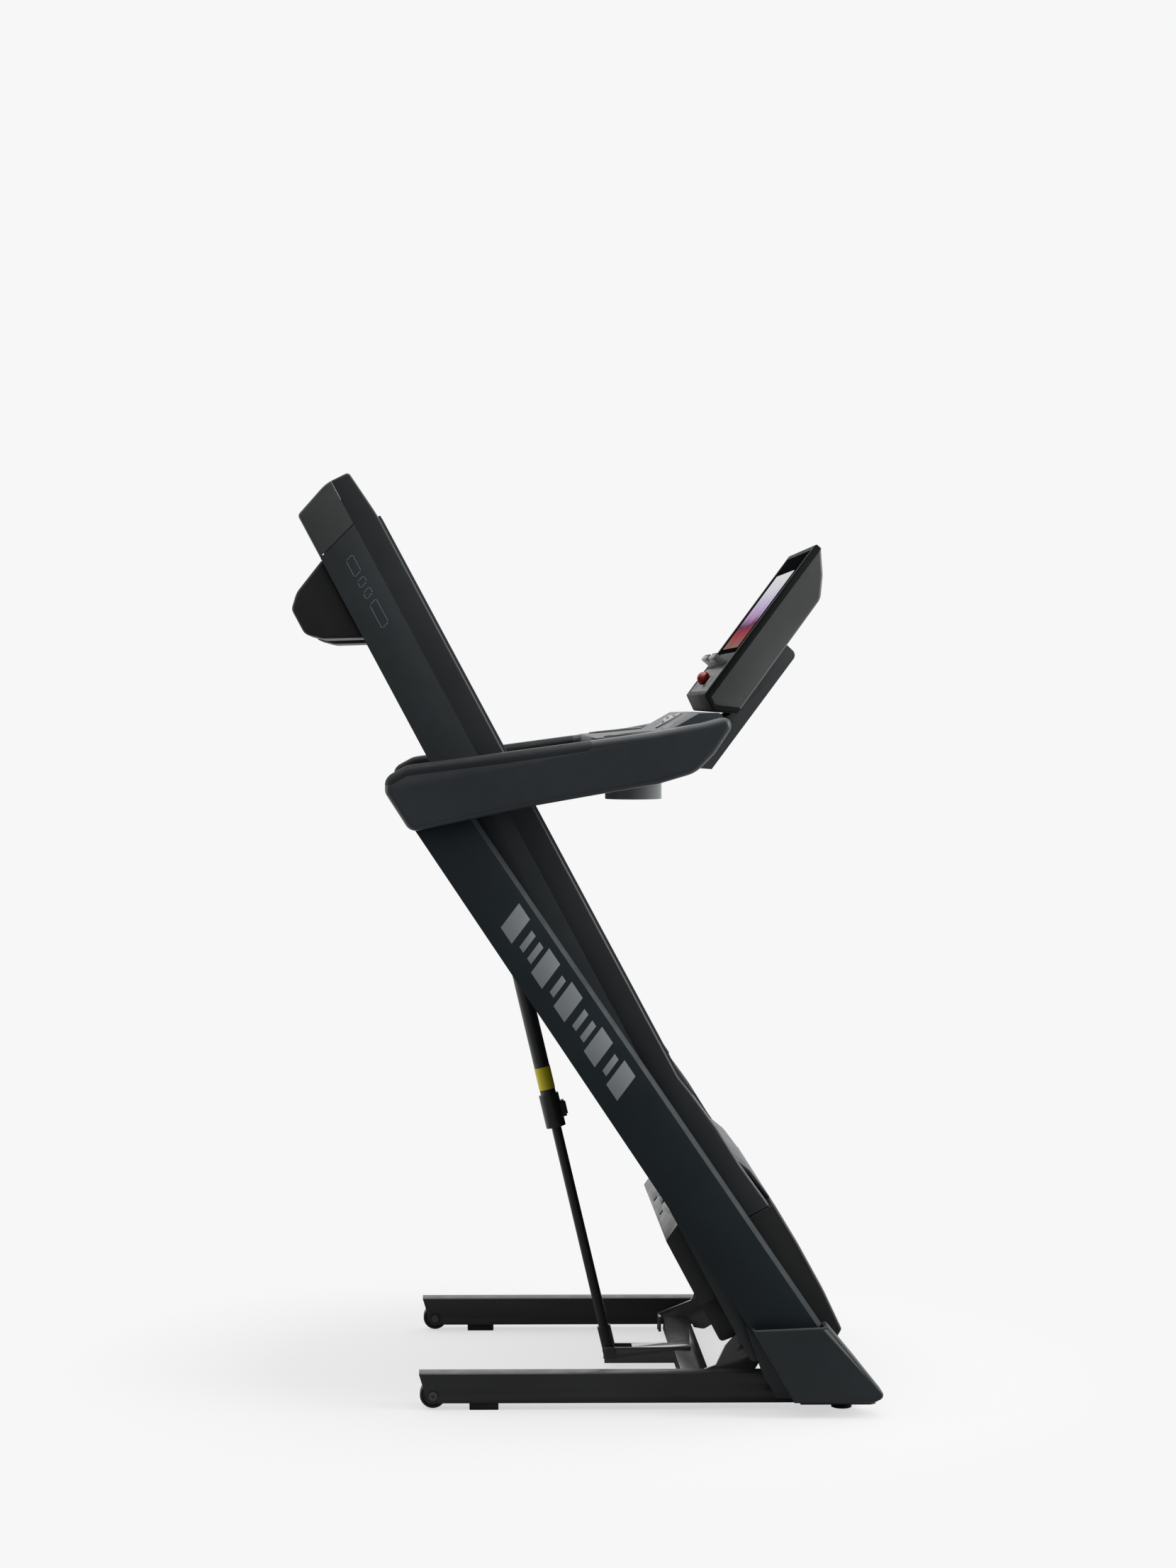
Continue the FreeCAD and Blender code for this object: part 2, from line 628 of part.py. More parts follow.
def lift_frame():
    inner = size("plate_inner")
    tube_place = at(size("lift_tube_rear"), -inner - WELD_LAP, size("lift_tube_bottom"))
    cross = box(tube_place, "Sizes.lift_tube_length", f"2 * Sizes.plate_inner + {2 * WELD_LAP}",
                "Sizes.lift_tube_height")
    plates = []
    flanges = []
    for _, side in SIDES:
        body = new_body()
        pad(body, LIFT_PLATE, "Sizes.plate_inner", "Sizes.plate_inner + Sizes.plate_thickness", side)
        pocket(body, disc(size("pivot_x"), size("pivot_z"), size("pin_radius")),
               "Sizes.plate_inner - 5", "Sizes.plate_inner + 20", side)
        plates.append(body)
        edge = inner + WELD_LAP
        corner_y = edge - FLANGE_WIDTH if side > 0 else -edge
        flanges.append(box(at(LIFT_PLATE[0][0] + 0.6, corner_y, 9), 5, FLANGE_WIDTH, 29))
    node("lift_frame", fuse([cross] + plates + flanges + [strut_channel()]))

    pins = []
    for _, side in SIDES:
        shaft = side_cylinder(side, inner - 1, size("pivot_x"), size("pivot_z"), "Sizes.pin_radius", 20.4)
        head = side_cylinder(side, inner - 7, size("pivot_x"), size("pivot_z"), 13, 7)
        pins.append(fuse([shaft, head]))
    anchor = at(size("anchor_x"), -23, size("anchor_z"), ACROSS)
    bolt = cylinder(anchor, "Sizes.strut_pin_radius", 46)
    heads = [cylinder(anchor * at(0, 0, shift), 9.5, 4) for shift in (-1, 43)]
    node("pivot_pins", group(pins + [fuse([bolt] + heads)]))


def strut_channel():
    """The U-shaped bracket that carries the lower end of the strut, open at its rear end."""
    outer = size("channel_inner") + size("channel_wall")
    weld = size("lift_tube_rear")
    height = 29.4
    block = box(at(CHANNEL_START, -outer, 8.6), weld + 31 - CHANNEL_START, 2 * outer, height)
    width = "2 * Sizes.channel_inner"
    below = box(at(CHANNEL_START - 10, -size("channel_inner"), 0), weld - CHANNEL_START + 9, width, 35)
    above = box(at(CHANNEL_START - 10, -size("channel_inner"), 20), CHANNEL_OPEN + 10, width, 40)
    hole = cylinder(at(size("anchor_x"), -40, size("anchor_z"), ACROSS), "Sizes.strut_pin_radius", 80)
    return cut(block, [below, above, hole])


def strut_angle():
    """Lean of the strut above the -X direction, with the deck folded."""
    end = strut_end()
    return math.degrees(math.atan2(end[1] - size("anchor_z"), size("anchor_x") - end[0]))


def strut_end():
    """Where the strut meets the deck, with the deck folded."""
    turn = math.radians(size("fold_angle"))
    back, height = STRUT_EAR
    x = size("pivot_x") - back * math.cos(turn) + height * math.sin(turn)
    z = size("pivot_z") + back * math.sin(turn) + height * math.cos(turn)
    return x, z


STRUT_EAR = (931, -15.5)


def strut_place():
    """Frame of the strut: z runs from the lower pivot to the upper one, x to the front."""
    lean = strut_angle() - 90
    return at(size("anchor_x"), 0, size("anchor_z"), Rotation(Vector(0, 1, 0), lean))


def strut_parts():
    place = strut_place()
    eye_turn = at(0, -11, 0, ACROSS)
    rod = cylinder(place * at(0, 0, 10), "Sizes.rod_radius", "Sizes.rod_length")
    lower_eye = cylinder(place * eye_turn, 13, 22)
    sleeve = cylinder(place * at(0, 0, 8), 12.5, 40)
    bore = cylinder(place * at(0, -20, 0, ACROSS), "Sizes.strut_pin_radius + Sizes.pin_clearance", 40)
    node("strut_rod", cut(fuse([rod, lower_eye, sleeve]), [bore]))

    start = size("tube_start")
    length = size("strut_folded") - start
    tube = cylinder(place * at(0, 0, start), "Sizes.tube_radius", length - 8)
    collar = cylinder(place * at(0, 0, start - 4), "Sizes.collar_radius", "Sizes.collar_length")
    lug = box(place * at(10, -9, start + 12), 15, 18, 30)
    room = cylinder(place * at(0, 0, start - 20), "Sizes.rod_radius + 0.35", 475)
    lug_room = box(place * at(15, -6.5, start + 15), 20, 13, 24)
    upper_eye = cylinder(place * at(0, -12, length + start, ACROSS), 15, 24)
    eye_bore = cylinder(place * at(0, -20, length + start, ACROSS), 7, 40)
    node("strut_tube", cut(fuse([tube, collar, lug, upper_eye]), [room, lug_room, eye_bore]))

    node("strut_latch", box(place * at(19.6, -6, start + 15.5), 8, 12, 23))


# ---------------------------------------------------------------- deck
# Deck pieces are drawn flat, as in use, with x forward and z up from the fold pivot,
# and are then turned up about the pivot by the fold angle. "back" is a distance behind it.

def deck_place():
    turn = Rotation(Vector(0, 1, 0), size("fold_angle"))
    return at(size("pivot_x"), 0, size("pivot_z"), turn)


def deck_outline(points):
    """Turns (back, height) points into sketch points."""
    return [(-point[0],) + tuple(point[1:]) for point in points]


def deck_rails():
    bottom, top, wall = size("frame_bottom"), size("frame_top"), size("frame_wall")
    outer = deck_outline([(-25, bottom, 12), (-25, top), (1603, top), (1579, bottom)])
    inside = deck_outline([(-40, bottom + wall), (-40, top - wall), (1620, top - wall),
                           (1620, bottom + wall)])
    rails = []
    for _, side in SIDES:
        body = new_body(deck_place())
        pad(body, outer, "Sizes.frame_inner", "Sizes.deck_half", side)
        pocket(body, inside, "Sizes.frame_inner + Sizes.frame_wall", "Sizes.deck_half - Sizes.frame_wall",
               side)
        pad(body, disc(0, 0, 15), "Sizes.plate_inner + Sizes.plate_thickness + 1",
            "Sizes.frame_inner + 0.5", side)
        pocket(body, disc(0, 0, size("pin_radius") + size("pin_clearance")),
               "Sizes.plate_inner", "Sizes.frame_inner", side)
        rails.append(body)
    node("deck_rails", group(rails))


MEMBERS = (215, 620, 931, 1250, 1500)


def deck_members():
    pieces = []
    half = size("frame_inner")
    for back in MEMBERS:
        place = deck_place() * at(-back - size("member_width") / 2, -half, size("member_bottom"))
        tube = box(place, "Sizes.member_width", "2 * Sizes.frame_inner", "Sizes.member_height")
        room = box(place * at(2.5, -5, 2.5), "Sizes.member_width - 5", "2 * Sizes.frame_inner + 10",
                   "Sizes.member_height - 5")
        pieces.append(cut(tube, [room]))

    back, height = STRUT_EAR
    ear = deck_outline([(back - 26, size("member_bottom")), (back - 14, height - 14, 10),
                        (back + 14, height - 14, 10), (back + 26, size("member_bottom"))])
    for _, side in SIDES:
        body = new_body(deck_place())
        pad(body, ear, "15.5", "20.5", side)
        pad(body, disc(-back, height, 9), "20", "26", side)
        pieces.append(body)
    pieces.extend(cushion_brackets())
    node("deck_cross_members", group(pieces))


CUSHIONS = (380, 700, 1020, 1340, 1560)
CUSHION_Y = 282


def cushion_brackets():
    """Small shelves on the inner faces of the side rails, one under each cushion."""
    place = deck_place()
    return [box(place * at(-back - 22, side * CUSHION_Y - 23, 51), 44, 46, 5)
            for back in CUSHIONS for _, side in SIDES]


def running_surface():
    place = deck_place()
    height = size("roller_height")
    rear, front = size("rear_roller_back"), size("front_roller_back")
    inner = size("roller_radius") + size("roller_gap")
    outer = inner + size("belt_thickness")

    body = new_body(place)
    pad(body, belt_loop(rear, front, height, outer), "0", "Sizes.belt_half", 0)
    pocket(body, belt_loop(rear, front, height, inner), "0", "Sizes.belt_half + 5", 0)
    node("running_belt", body)

    board = box(place * at(-1585, -size("board_half"), size("board_bottom")), 1275,
                "2 * Sizes.board_half", "Sizes.board_thickness")
    node("running_board", board)

    cushions = [cylinder(place * at(-back, side * CUSHION_Y, 56), 15, 16)
                for back in CUSHIONS for _, side in SIDES]
    node("board_cushions", group(cushions))

    for name, back in (("front_roller", front), ("rear_roller", rear)):
        barrel = cylinder(place * at(-back, -258, height, ACROSS), "Sizes.roller_radius", 516)
        bore = cylinder(place * at(-back, -300, height, ACROSS), "Sizes.shaft_radius + 0.05", 600)
        solids = [barrel]
        if name == "front_roller":
            pulley_place = place * at(-back, size("belt_plane"), height, ACROSS)
            boss = cylinder(place * at(-back, 250, height, ACROSS), 16, 24)
            solids += [cylinder(pulley_place, "Sizes.roller_pulley_radius", "Sizes.belt_plane_width"), boss]
        node(name, cut(fuse(solids), [bore]))
    shafts = []
    for back in (front, rear):
        shafts.append(cylinder(place * at(-back, -304.9, height, ACROSS), "Sizes.shaft_radius", 609.8))
    hangers = []
    for back in (front, rear):
        for _, side in SIDES:
            start = size("frame_inner") - 14 if side > 0 else -size("frame_inner")
            hangers.append(box(place * at(-back - 14, start, 38), 28, 14, 44))
    node("roller_shafts", fuse(shafts + hangers))


def belt_loop(rear, front, height, radius):
    """Closed loop round two equal rollers."""
    top, bottom = height + radius, height - radius
    rear_tip = Vector(-rear - radius, height, 0)
    front_tip = Vector(-front + radius, height, 0)
    return Loop([
        Part.LineSegment(Vector(-rear, top, 0), Vector(-front, top, 0)),
        Part.Arc(Vector(-front, top, 0), front_tip, Vector(-front, bottom, 0)),
        Part.LineSegment(Vector(-front, bottom, 0), Vector(-rear, bottom, 0)),
        Part.Arc(Vector(-rear, bottom, 0), rear_tip, Vector(-rear, top, 0)),
    ])


def pulley_loop(small, small_radius, large, large_radius):
    """Closed loop round two pulleys of different radius, in deck sketch points."""
    start = Vector(-small[0], small[1], 0)
    end = Vector(-large[0], large[1], 0)
    along = (end - start).normalize()
    across = Vector(-along.y, along.x, 0)
    lean = math.asin((large_radius - small_radius) / (end - start).Length)
    upper = across * math.cos(lean) - along * math.sin(lean)
    lower = across * -math.cos(lean) - along * math.sin(lean)
    return Loop([
        Part.LineSegment(start + upper * small_radius, end + upper * large_radius),
        Part.Arc(end + upper * large_radius, end + along * large_radius, end + lower * large_radius),
        Part.LineSegment(end + lower * large_radius, start + lower * small_radius),
        Part.Arc(start + lower * small_radius, start - along * small_radius,
                 start + upper * small_radius),
    ])


def deck_covers():
    place = deck_place()
    seam = size("seam_back") + 0.5
    top = size("foot_rail_top")
    crest = size("foot_rail_top") + size("insert_rise")
    board_top = size("board_bottom") + size("board_thickness")

    profile = deck_outline([(1689.5, 58), (1688.5, 92.5, 7), (1600, top, 300), (480, top),
                            (446, 108, 120), (367, 119, 200), (292, 124, 200), (seam, 136), (seam, 58)])
    strip = deck_outline([(1596, top - 2), (1596, crest, 1.5), (500, crest), (440, 113), (430, top)])
    hollow = deck_outline([(1684, 50), (1684, 88), (1610, top - 5), (seam + 4, top - 5), (seam + 4, 50)])
    rails = []
    for _, side in SIDES:
        body = new_body(place)
        pad(body, profile, "Sizes.foot_rail_inner", "Sizes.deck_half", side)
        outer_y = side * size("deck_half")
        soften(body, 4, lambda edge: on_face(edge, outer_y) and edge.CenterOfMass.z > 85)
        pad(body, strip, "Sizes.foot_rail_inner + 14", "Sizes.deck_half - 14", side)
        pocket(body, hollow, "Sizes.foot_rail_inner + 8", "Sizes.deck_half - 4", side)
        pocket(body, rectangle(-1684, 50, -100, board_top + 3), "Sizes.foot_rail_inner - 5",
               "Sizes.foot_rail_inner + 8", side)
        rails.append(body)
    node("foot_rails", group(rails))

    cap = deck_outline([(1604.5, 57.7), (1689.8, 57.7), (1688.5, 44, 70), (1664, -22, 8), (1580.5, -22)])
    room = deck_outline([(1560, 70), (1685.5, 70), (1684.2, 44), (1661, -18), (1560, -18)])
    caps = []
    for _, side in SIDES:
        body = new_body(place)
        pad(body, cap, "Sizes.foot_rail_inner - 6", "Sizes.deck_half", side)
        outer_y = side * size("deck_half")
        soften(body, 5, lambda edge: on_face(edge, outer_y) and edge.CenterOfMass.x < -1640
               and edge.CenterOfMass.z < 57)
        pocket(body, room, "Sizes.foot_rail_inner - 10", "Sizes.deck_half - 4", side)
        caps.append(body)
    node("rear_caps", group(caps))

    hood()
    landing = new_body(place)
    pad(landing, deck_outline([(seam, 145), (262, 136, 40), (290, 124, 12), (306, 99), (300, 98),
                               (284, 119), (258, 130), (seam, 139)]), "0", "Sizes.foot_rail_inner - 1", 0)
    node("landing_cover", landing)

    belly_pan()


SCREW_RADIUS = 9


def incline_line():
    """Frame of the incline screw: z runs rearwards along it, from the gearbox."""
    return deck_place() * at(-30, -20, -25, Rotation(Vector(0, 1, 0), -90))


def belly_pan():
    """A tray under the motor bay; its rear part widens to fit between the base rails."""
    wall = size("pan_wall")
    body = new_body(deck_place())
    pad(body, deck_outline([(10, 8), (18, -54, 8), (230, -54, 4), (248, -18), (248, 8)]),
        "0", "Sizes.pan_half", 0)
    pad(body, deck_outline([(100, -22.2), (100, -54), (230, -54, 4), (245.9, -22.2)]),
        "0", "Sizes.tray_half", 0)
    pocket(body, deck_outline([(10 + wall, 15), (18 + wall, -54 + wall), (228, -54 + wall), (244.5, -18),
                               (244.5, 15)]), "0", "Sizes.pan_half - Sizes.pan_wall", 0)
    wing = deck_outline([(100 + wall, -10), (100 + wall, -54 + wall), (228, -54 + wall),
                         (244.5, -18), (244.5, -10)])
    for _, side in SIDES:
        pocket(body, wing, "Sizes.pan_half", "Sizes.tray_half - Sizes.pan_wall", side)
        pocket(body, rectangle(-255, -47, -220, -38), "70", "84", side)
    screw_exit = cylinder(incline_line() * at(0, 0, 195), SCREW_RADIUS + 1.5, 40)
    node("belly_pan", cut(body, [screw_exit]))


INLET = {"left": -62, "right": -152, "low": 55, "high": 95}
HOOD_FRONT = 56


def hood():
    back = size("seam_back")
    body = new_body(deck_place())
    pad(body, deck_outline([(back, 58), (back, 145), (126, 149, 300), (30, 150, 300), (-46, 146, 6),
                            (-HOOD_FRONT, 130, 6), (-HOOD_FRONT, 20), (-27, 20), (-27, 58)]),
        "0", "Sizes.deck_half", 0)
    soften(body, 5, lambda edge: abs(abs(edge.CenterOfMass.y) - size("deck_half")) < 0.01
           and (edge.CenterOfMass.z > 129 or edge.CenterOfMass.x > 55))
    pocket(body, deck_outline([(back + 10, 50), (back + 10, 139), (126, 144.5), (30, 145.5), (-43, 141.5),
                               (-52, 128), (-52, 10), (-10, 10), (-10, 50)]),
           "0", "Sizes.deck_half - 4", 0)
    place = deck_place() * at(HOOD_FRONT - 8, INLET["right"], INLET["low"])
    window = box(place, 20, INLET["left"] - INLET["right"], INLET["high"] - INLET["low"])
    node("hood", cut(body, [window]))


SWITCH_Y = -80
SWITCH_HEIGHT = 75
SWITCH_PIVOT = 0.5


def power_parts():
    place = deck_place()
    width = INLET["left"] - INLET["right"] - 1
    height = INLET["high"] - INLET["low"] - 1
    plate = box(place * at(HOOD_FRONT - 6, INLET["right"] + 0.5, INLET["low"] + 0.5), 7, width, height)
    body = box(place * at(HOOD_FRONT - 30, -142, 62), 27, 36, 26)
    mouth = box(place * at(HOOD_FRONT - 20, -138, 64.5), 30, 28, 21)
    window = box(place * at(HOOD_FRONT - 20, SWITCH_Y - 7, SWITCH_HEIGHT - 10.5), 40, 14, 21)
    socket = cut(fuse([plate, body]), [mouth, window])
    blades = [box(place * at(HOOD_FRONT - 21, y, z), 10, 2, 5)
              for y, z in ((-133, 70), (-125, 77), (-117, 70))]
    node("power_inlet", fuse([socket] + blades))
    rocker = box(place * at(HOOD_FRONT - 2.5, SWITCH_Y - 6.3, SWITCH_HEIGHT - 9.4), 6, 12.6, 18.8)
    pivot = cylinder(place * at(HOOD_FRONT + SWITCH_PIVOT, SWITCH_Y - 6.8, SWITCH_HEIGHT, ACROSS), 2.5, 13.6)
    node("power_switch", fuse([rocker, pivot]))


def drive_parts():
    place = deck_place()
    back, height = size("motor_back"), size("motor_height")
    axis = place * at(-back, 0, height, ACROSS)
    can = cylinder(axis * at(0, 0, 40), "Sizes.motor_radius", 188)
    foot = box(place * at(-235, 40, 3), 110, 188, 5)
    bore = cylinder(axis * at(0, 0, 196), "Sizes.shaft_radius + 0.05", 60)
    node("motor_housing", cut(fuse([can, foot]), [bore]))

    shaft = cylinder(axis * at(0, 0, 198), "Sizes.shaft_radius", 78)
    flywheel = cylinder(axis * at(0, 0, 232), "Sizes.flywheel_radius", 20)
    pulley = cylinder(axis * at(0, 0, size("belt_plane")), "Sizes.motor_pulley_radius",
                      "Sizes.belt_plane_width")
    holes = [cylinder(axis * at(36 * math.cos(angle), 36 * math.sin(angle), 220), 11, 40)
             for angle in (math.radians(72 * number) for number in range(5))]
    node("motor_rotor", cut(fuse([shaft, flywheel, pulley]), holes))

    small, large = (back, height), (size("front_roller_back"), size("roller_height"))
    belt = new_body(place)
    gap, thick = 0.4, 2
    small_radius, large_radius = size("motor_pulley_radius"), size("roller_pulley_radius")
    pad(belt, pulley_loop(small, small_radius + gap + thick, large, large_radius + gap + thick),
        "Sizes.belt_plane + 2", "Sizes.belt_plane + 10", 1)
    pocket(belt, pulley_loop(small, small_radius + gap, large, large_radius + gap),
           "Sizes.belt_plane", "Sizes.belt_plane + 12", 1)
    node("drive_belt", belt)

    case = box(place * at(-130, -254, -50), 106, 168, 42)
    fins = [box(place * at(-120 + 12 * step, -248, -8.5), 3, 156, 12) for step in range(8)]
    node("motor_controller", fuse([case] + fins))

    line = incline_line()
    gearbox = cylinder(line, 22, 100)
    motor = cylinder(line * at(0, -42, 10), 17, 60)
    bridge = box(line * at(-14, -40, 12), 28, 38, 40)
    screw_room = cylinder(line * at(0, 0, 30), SCREW_RADIUS + 0.3, 90)
    node("incline_actuator", cut(fuse([gearbox, motor, bridge]), [screw_room]))
    node("incline_screw", cylinder(line * at(0, 0, 32), SCREW_RADIUS, 133))


def rear_legs():
    profile = deck_outline([(1575, -22), (1546, -88, 40), (1524, -110, 16), (1474, -110, 20),
                            (1452, -86, 30), (1420, -22)])
    legs = []
    for _, side in SIDES:
        body = new_body(deck_place())
        pad(body, profile, "Sizes.leg_inner", "Sizes.leg_outer", side)
        faces = (side * size("leg_inner"), side * size("leg_outer"))
        soften(body, 6, lambda edge: any(on_face(edge, y) for y in faces)
               and edge.CenterOfMass.z < -24)
        legs.append(body)
    node("rear_legs", group(legs))


# ---------------------------------------------------------------- build, check and write

def check(piece):
    """Stops the build on a failed feature or a shape that can't be used."""
    shape = piece.Shape
    if shape.isNull() or not shape.isValid() or not shape.Solids:
        raise RuntimeError(f"{piece.Label}: bad shape")
    if shape.Volume <= 0:
        raise RuntimeError(f"{piece.Label}: no volume")


def main():
    base_rails()
    base_fittings()
    wheels()
    uprights()
    foot_covers()
    handrails()
    console_base()
    cup_holders()
    fan_parts()
    console_spine()
    console_head()
    control_parts()
    lift_frame()
    strut_parts()
    deck_rails()
    deck_members()
    running_surface()
    deck_covers()
    power_parts()
    drive_parts()
    rear_legs()
    doc.recompute()

    failed = [item.Label for item in doc.Objects
              if "Invalid" in item.State or "Error" in item.State]
    if failed:
        raise RuntimeError(f"failed features: {failed}")
    os.makedirs("parts", exist_ok=True)
    for piece in nodes:
        check(piece)
        piece.Shape.exportStep(f"parts/{piece.Label}.step")
    print(f"{len(nodes)} nodes written")


main()
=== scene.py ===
import json
import math

import bmesh
import bpy
from mathutils import Matrix, Vector


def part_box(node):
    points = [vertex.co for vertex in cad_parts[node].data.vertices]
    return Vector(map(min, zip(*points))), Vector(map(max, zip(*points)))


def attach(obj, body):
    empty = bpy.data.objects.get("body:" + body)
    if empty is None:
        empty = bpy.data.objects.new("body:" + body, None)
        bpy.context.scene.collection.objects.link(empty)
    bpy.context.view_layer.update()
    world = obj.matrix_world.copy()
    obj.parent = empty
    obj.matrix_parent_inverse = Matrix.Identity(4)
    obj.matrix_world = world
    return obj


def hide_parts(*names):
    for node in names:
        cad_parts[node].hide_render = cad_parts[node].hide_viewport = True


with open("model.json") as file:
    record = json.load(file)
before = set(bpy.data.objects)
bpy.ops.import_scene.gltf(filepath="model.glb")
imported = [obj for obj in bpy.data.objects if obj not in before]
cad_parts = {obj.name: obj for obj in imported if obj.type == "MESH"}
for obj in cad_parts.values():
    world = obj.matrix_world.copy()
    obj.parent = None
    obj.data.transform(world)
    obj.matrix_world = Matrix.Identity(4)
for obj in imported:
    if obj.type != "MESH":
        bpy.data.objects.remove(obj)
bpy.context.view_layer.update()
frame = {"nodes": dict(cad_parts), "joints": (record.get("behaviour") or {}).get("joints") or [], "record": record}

NODES = frame["nodes"]
JOINTS = {joint["name"]: joint for joint in frame["joints"]}
BODY_OF = {node: body for body, members in frame["record"]["behaviour"]["bodies"].items()
           for node in members}
MM = 0.001


# ------------------------------------------------------------------ directions of the model

def joint_axis(name):
    return Vector(JOINTS[name]["axis"]).normalized()


def basis_from(along):
    """Three directions: along, the user's left, and the one square to both."""
    left = Vector((0, 1, 0))
    return along, left, left.cross(along)


ROW = (Vector((1, 0, 0)), Vector((0, 1, 0)), Vector((0, 0, 1)))
DECK = basis_from(joint_axis("incline_screw_travel"))          # rearwards, left, up from the belt
STRUT = basis_from(joint_axis("strut_slide"))                  # up the strut, left, forwards
OUT = joint_axis("safety_key_pull")
CONSOLE = (Vector((0, 1, 0)).cross(OUT), Vector((0, 1, 0)), OUT)   # up the face, left, out of it


def span(node, direction):
    """Lowest and highest reach of a node along a direction."""
    reaches = [vertex.co.dot(direction) for vertex in NODES[node].data.vertices]
    return min(reaches), max(reaches)


def point(basis, first, second, third):
    return basis[0] * first + basis[1] * second + basis[2] * third


def upright_basis():
    """Up the lean of the uprights, left, and square to the lean."""
    low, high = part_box("upright_right")
    vertices = [vertex.co for vertex in NODES["upright_right"].data.vertices]
    foot = min((v for v in vertices if v.z < low.z + MM), key=lambda v: v.x)
    head = min((v for v in vertices if v.z > high.z - MM), key=lambda v: v.x)
    along = (head - foot)
    along.y = 0
    return basis_from(along.normalized())


UPRIGHT = upright_basis()


# ------------------------------------------------------------------ materials

def new_material(name):
    """A material with a Principled shader, and the object's own coordinates."""
    material = bpy.data.materials.new(name)
    material.use_nodes = True
    nodes = material.node_tree.nodes
    shader = nodes["Principled BSDF"]
    place = nodes.new("ShaderNodeTexCoord").outputs["Object"]
    return material, nodes, material.node_tree.links, shader, place


def noise(nodes, links, place, scale, detail=4.0, stretch=(1, 1, 1)):
    mapping = nodes.new("ShaderNodeMapping")
    mapping.inputs["Scale"].default_value = stretch
    links.new(place, mapping.inputs["Vector"])
    texture = nodes.new("ShaderNodeTexNoise")
    texture.inputs["Scale"].default_value = scale
    texture.inputs["Detail"].default_value = detail
    links.new(mapping.outputs["Vector"], texture.inputs["Vector"])
    return texture.outputs["Fac"]


def remap(nodes, links, value, low, high, start=0.3, stop=0.7):
    """Maps start..stop of a value onto low..high."""
    node = nodes.new("ShaderNodeMapRange")
    node.inputs["From Min"].default_value = start
    node.inputs["From Max"].default_value = stop
    node.inputs["To Min"].default_value = low
    node.inputs["To Max"].default_value = high
    links.new(value, node.inputs["Value"])
    return node.outputs["Result"]


def blend_colours(nodes, links, factor, first, second):
    node = nodes.new("ShaderNodeMix")
    node.data_type = "RGBA"
    node.inputs["A"].default_value = (*first, 1)
    node.inputs["B"].default_value = (*second, 1)
    links.new(factor, node.inputs["Factor"])
    return node.outputs["Result"]


def bump(nodes, links, height, distance, strength, shader):
    node = nodes.new("ShaderNodeBump")
    node.inputs["Distance"].default_value = distance
    node.inputs["Strength"].default_value = strength
    links.new(height, node.inputs["Height"])
    links.new(node.outputs["Normal"], shader.inputs["Normal"])


def srgb(red, green, blue):
    """Linear colour from the 0 to 255 values that a screen shows."""
    def linear(value):
        value /= 255
        return value / 12.92 if value <= 0.04045 else ((value + 0.055) / 1.055) ** 2.4
    return linear(red), linear(green), linear(blue)


def scaled(colour, factor):
    return tuple(min(1.0, channel * factor) for channel in colour)


def moulded(name, colour, roughness=0.42, grain=900, depth=0.00012, strength=0.35, coat=0.0,
            specular=0.5, spread=0.18):
    """Plastic or paint: a fine grain, and colour and gloss that drift slowly over the surface."""
    material, nodes, links, shader, place = new_material(name)
    broad = noise(nodes, links, place, 5.0, 3.0)
    colour_out = blend_colours(nodes, links, remap(nodes, links, broad, 0, 1),
                               scaled(colour, 1 - spread), scaled(colour, 1 + spread))
    links.new(colour_out, shader.inputs["Base Color"])
    smudge = noise(nodes, links, place, 38.0, 5.0)
    links.new(remap(nodes, links, smudge, roughness - 0.05, roughness + 0.06), shader.inputs["Roughness"])
    bump(nodes, links, noise(nodes, links, place, grain, 2.0), depth, strength, shader)
    shader.inputs["Specular IOR Level"].default_value = specular
    shader.inputs["Coat Weight"].default_value = coat
    shader.inputs["Coat Roughness"].default_value = 0.18
    return material


def brushed(name, colour, roughness=0.3, stretch=(1, 40, 1)):
    """Metal with fine lines across it."""
    material, nodes, links, shader, place = new_material(name)
    lines = noise(nodes, links, place, 260.0, 3.0, stretch)
    colour_out = blend_colours(nodes, links, remap(nodes, links, lines, 0, 1),
                               scaled(colour, 0.8), scaled(colour, 1.1))
    links.new(colour_out, shader.inputs["Base Color"])
    links.new(remap(nodes, links, lines, roughness - 0.08, roughness + 0.12), shader.inputs["Roughness"])
    bump(nodes, links, lines, 0.0001, 0.3, shader)
    shader.inputs["Metallic"].default_value = 1.0
    return material


def belt_rubber(name):
    """Running belt: a fine diamond relief in dark rubber, dusted lighter in places."""
    material, nodes, links, shader, place = new_material(name)
    turned = nodes.new("ShaderNodeMapping")
    turned.inputs["Rotation"].default_value = (math.radians(40), math.radians(40), math.radians(45))
    links.new(place, turned.inputs["Vector"])
    cells = nodes.new("ShaderNodeTexVoronoi")
    cells.feature = "DISTANCE_TO_EDGE"
    cells.inputs["Scale"].default_value = 330.0
    cells.inputs["Randomness"].default_value = 0.15
    links.new(turned.outputs["Vector"], cells.inputs["Vector"])
    dust = noise(nodes, links, place, 9.0, 6.0)
    colour_out = blend_colours(nodes, links, remap(nodes, links, dust, 0, 1),
                               srgb(24, 25, 27), srgb(40, 42, 44))
    links.new(colour_out, shader.inputs["Base Color"])
    links.new(remap(nodes, links, dust, 0.62, 0.8), shader.inputs["Roughness"])
    bump(nodes, links, cells.outputs["Distance"], 0.0008, 0.6, shader)
    return material


